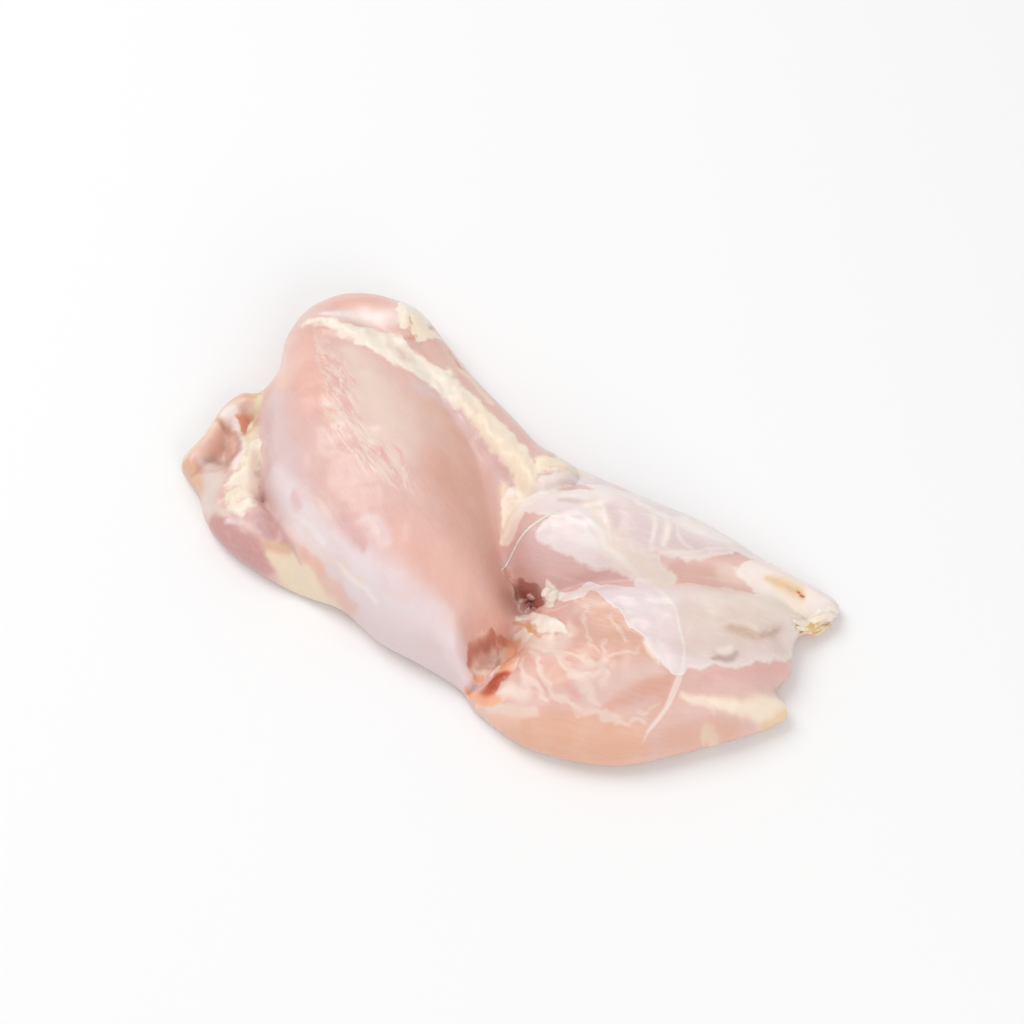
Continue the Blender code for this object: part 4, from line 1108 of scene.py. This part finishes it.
def golden_material():
    """Golden wet fat where the tendon was pulled."""
    return cloudy_material("golden_fat", 350.0, "golden", "yellow_fat", 0.35, 0.3, 0.2, 0.4)


def shred_material():
    """Dark wet shreds of muscle in the cuts."""
    return cloudy_material("cut_shreds", 300.0, "dark", "mauve_dark", 0.3, 0.4, 0.3, 0.45)


def make_thigh(material):
    """The whole thigh in one fine mesh, with its colours and fields on its points."""
    points, fields = thigh_rings()
    x, y = points[..., 0], points[..., 1]
    tints = {
        "tint": painted(MEAT_STROKES + scuff_strokes(), "pink", x, y),
        "skin_tint": painted(SKIN_STROKES, "skin_lilac", x, y),
        "fat_tint": painted(FAT_STROKES, "cream", x, y),
        "cut_tint": painted(CUT_STROKES, "pocket_pink", x, y),
    }
    tints["tint"] += fields["below"][..., None] * (np.array(COLOURS["pink"]) - tints["tint"])
    poles = np.stack([points[0].mean(axis=0), points[-1].mean(axis=0)])
    count, around = x.shape
    points = np.vstack([points.reshape(-1, 3), poles])
    piece = new_piece("thigh_meat", points, ring_faces(count, around), material)
    fields["lobe"] = 1 - step(-3, 3, (x - 1) + 0.12 * (y + 20))
    fields["scuffed"] = step(-1.5, 1.5, signed_field(SCUFFS, x, y)) * (1 - fields["below"])
    mesh = piece.data
    for name, field in fields.items():
        values = np.r_[field.ravel(), field[0].mean(), field[-1].mean()].astype(np.float32)
        mesh.attributes.new(name, "FLOAT", "POINT").data.foreach_set("value", values)
    for name, colour in tints.items():
        colour = np.vstack([colour.reshape(-1, 3), colour[0].mean(axis=0), colour[-1].mean(axis=0)])
        colour = np.hstack([to_linear(colour), np.ones((len(colour), 1))]).astype(np.float32)
        mesh.attributes.new(name, "FLOAT_COLOR", "POINT").data.foreach_set("color", colour.ravel())
    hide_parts("thigh")


STRAP_SIDES = 8
STRAP_SUNK = 0.3


def strap(name, rows, flatness, material):
    """A strand lying on the meat: an ellipse carried along a path over the back, closed at both ends."""
    path = smooth_path(rows, steps=8)
    x, y, half = path.T
    z = surface_height(x, y)
    z = np.convolve(np.r_[z[0], z, z[-1]], np.ones(3) / 3, "valid")
    middle = np.stack([x, y, z], axis=1)
    run = np.gradient(middle, axis=0)
    run /= np.linalg.norm(run, axis=1, keepdims=True)
    up = np.array([0.0, 0.0, 1.0]) - run * run[:, 2:3]
    up /= np.linalg.norm(up, axis=1, keepdims=True)
    side = np.cross(run, up)
    turn = np.linspace(0, 2 * math.pi, STRAP_SIDES, endpoint=False)
    thick = half * flatness
    lift = (thick * (1 - 2 * STRAP_SUNK))[:, None, None] * up[:, None]
    ring = (
        middle[:, None]
        + half[:, None, None] * np.cos(turn)[None, :, None] * side[:, None]
        + thick[:, None, None] * np.sin(turn)[None, :, None] * up[:, None]
        + lift
    )
    points = np.vstack([ring.reshape(-1, 3), ring[0].mean(axis=0), ring[-1].mean(axis=0)])
    new_piece(name, points, [face[::-1] for face in ring_faces(len(path), STRAP_SIDES)], material)


LUMP_SIDES = 20
LUMP_RINGS = 13


def unit_sphere():
    """Points of a sphere in rings from the top down, then its top and its bottom."""
    turn = np.linspace(0, 2 * math.pi, LUMP_SIDES, endpoint=False)
    lean = np.linspace(0, math.pi, LUMP_RINGS + 2)[1:-1, None]
    rings = [np.sin(lean) * np.cos(turn), np.sin(lean) * np.sin(turn), np.cos(lean) * np.ones(LUMP_SIDES)]
    return np.vstack([np.stack(rings, axis=-1).reshape(-1, 3), [[0, 0, 1]], [[0, 0, -1]]])


def lumps(name, spots, material, seed):
    """Many small irregular lumps in one mesh: spheres squashed and swollen by seeded ripples."""
    dice = np.random.default_rng(seed)
    sphere = unit_sphere()
    all_points = []
    all_faces = []
    one = ring_faces(LUMP_RINGS, LUMP_SIDES)
    for x, y, z, rx, ry, rz, bearing in spots:
        swell = np.ones(len(sphere))
        for _ in range(5):
            axis = dice.normal(size=3)
            swell += 0.09 * np.sin(sphere @ axis * 2.6 + dice.uniform(0, 6.28))
        shape = sphere * swell[:, None] * (rx, ry, rz)
        c, s = math.cos(bearing), math.sin(bearing)
        turned_x, turned_y = shape[:, 0] * c - shape[:, 1] * s, shape[:, 0] * s + shape[:, 1] * c
        turned = np.stack([turned_x, turned_y, shape[:, 2]], axis=1)
        start = len(all_points) * len(sphere)
        all_points.append(turned + (x, y, z))
        all_faces += [[start + k for k in face] for face in one]
    new_piece(name, np.vstack(all_points), all_faces, material)


def lumps_along(rows, count, size, seed, sunk):
    """Places and sizes for lumps thrown along a path on the back, none of them near the board."""
    dice = np.random.default_rng(seed)
    x, y, bearing = thrown_along(dice, smooth_path(rows), count)
    z = surface_height(x, y)
    long = dice.uniform(*size, count)
    wide = long * dice.uniform(0.55, 0.9, count)
    high = long * dice.uniform(0.35, 0.6, count)
    middle = np.maximum(z - high * sunk, 1.4 * high + 0.2)
    return np.stack([x, y, middle, long, wide, high, bearing], axis=1)


# Where small lumps lie in the crease: material, path, how many, least and largest half length, the share
# of the height that is sunk, and the seeds of the places and of the shapes.
LUMPS = {
    "crease_nodules": ("fat", [(9.5, -21.5, 0.5), (11.8, -23.5, 0.6), (12, -26.5, 0.5)],
        5, (1.5, 2.4), 0.3, 88, 89),
    "crease_shreds": ("shred", [(4, -19, 1.2), (6, -22, 1.6), (8, -25, 1.2)],
        9, (0.8, 1.7), 0.5, 90, 91),
}

# Strands that lie on the meat: material, how flat, then x, y, half width.
STRANDS = {
    "left_thread": ("sinew", 0.7, [(-1, -16, 0.12), (0, -14, 0.26), (2.5, -11, 0.3), (5, -9, 0.3),
        (8, -7, 0.28), (11, -5.5, 0.22), (14, -5, 0.1)]),
    "tip_fray_golden": ("golden", 0.8, [(73, -32.2, 0.4), (75, -31.4, 1.1), (77.5, -30, 1.3),
        (79.5, -29, 0.9), (81, -28.4, 0.3)]),
    "tip_fray_middle": ("golden", 0.8, [(74, -32.6, 0.3), (77, -31.6, 0.7), (80, -30.6, 0.6),
        (81.5, -29.6, 0.2)]),
    "tip_fray_upper": ("fat", 0.7, [(72, -31, 0.5), (75.5, -30.5, 1), (79, -28.5, 1.1), (82, -27.4, 0.9),
        (84, -26.5, 0.4)]),
    "tip_fray_lower": ("golden", 0.8, [(73.5, -31.8, 0.3), (76.5, -31, 0.8), (80, -30, 0.8),
        (82.5, -28.6, 0.5)]),
}


def make_details(materials):
    """The small separate bits: nodules, shreds, a thread that lies free, and the frayed end of the tendon."""
    for name, (material, path, count, size, sunk, place_seed, shape_seed) in LUMPS.items():
        spots = lumps_along(path, count, size, place_seed, sunk)
        lumps(name, spots, materials[material], shape_seed)
    for name, (material, flatness, rows) in STRANDS.items():
        strap(name, rows, flatness, materials[material])


def make_floor():
    """A pale floor that runs out of sight."""
    material, tree = new_material("pale_floor")
    shader = tree.nodes["Principled BSDF"]
    shader.inputs["Base Color"].default_value = (0.9, 0.9, 0.9, 1)
    shader.inputs["Roughness"].default_value = 0.7
    mesh = bpy.data.meshes.new("floor")
    mesh.from_pydata([(-6, -6, 0), (6, -6, 0), (6, 6, 0), (-6, 6, 0)], [], [(0, 1, 2, 3)])
    mesh.materials.append(material)
    floor = bpy.data.objects.new("floor", mesh)
    bpy.context.scene.collection.objects.link(floor)


SKY = 0.62
LAMP = 8.5
FILL = 4.5
LAMP_SIZE = 0.9


def soft_lamp(name, place, power):
    """A round lamp that looks at the middle of the thigh."""
    lamp = bpy.data.lights.new(name, "AREA")
    lamp.shape = "DISK"
    lamp.size = LAMP_SIZE
    lamp.energy = power
    holder = bpy.data.objects.new(name, lamp)
    holder.location = place
    x, y, z = place
    holder.rotation_euler = (math.atan2(math.hypot(x, y), z), 0, math.atan2(x, -y))
    bpy.context.scene.collection.objects.link(holder)


def make_lights():
    """A wide soft lamp from the upper left and behind, a weak one in front, and an even white sky."""
    world = bpy.data.worlds.new("white_sky")
    world.use_nodes = True
    sky = world.node_tree.nodes["Background"]
    sky.inputs["Color"].default_value = (1, 1, 1, 1)
    sky.inputs["Strength"].default_value = SKY
    bpy.context.scene.world = world
    soft_lamp("soft_lamp", (-0.6, 0.45, 1.2), LAMP)
    soft_lamp("fill_lamp", (0.5, -1.0, 0.7), FILL)


# The place that the camera looks at and how far off it is, in plan millimetres.
LENS = 85.0
SENSOR = 36.0
LOOK_DOWN = math.radians(62)
AIM = (1.8, 5.1, 0.0)
DISTANCE = 631.3


def make_camera():
    """A long lens looking down from the front."""
    camera = bpy.data.cameras.new("camera")
    camera.lens = LENS
    camera.sensor_width = SENSOR
    camera.clip_start = 0.01
    holder = bpy.data.objects.new("camera", camera)
    back = np.array([0, -math.cos(LOOK_DOWN), math.sin(LOOK_DOWN)]) * DISTANCE
    holder.location = place_in_frame(np.array(AIM) + back)
    holder.rotation_euler = (math.pi / 2 - LOOK_DOWN, 0, 0)
    bpy.context.scene.collection.objects.link(holder)
    bpy.context.scene.camera = holder


def main():
    """Makes the thigh, its small bits and the studio."""
    make_thigh(meat_material())
    make_details({
        "fat": fat_material(),
        "sinew": sinew_material(),
        "shred": shred_material(),
        "golden": golden_material(),
    })
    make_floor()
    make_lights()
    make_camera()
    bpy.context.scene.view_settings.view_transform = "Standard"


main()
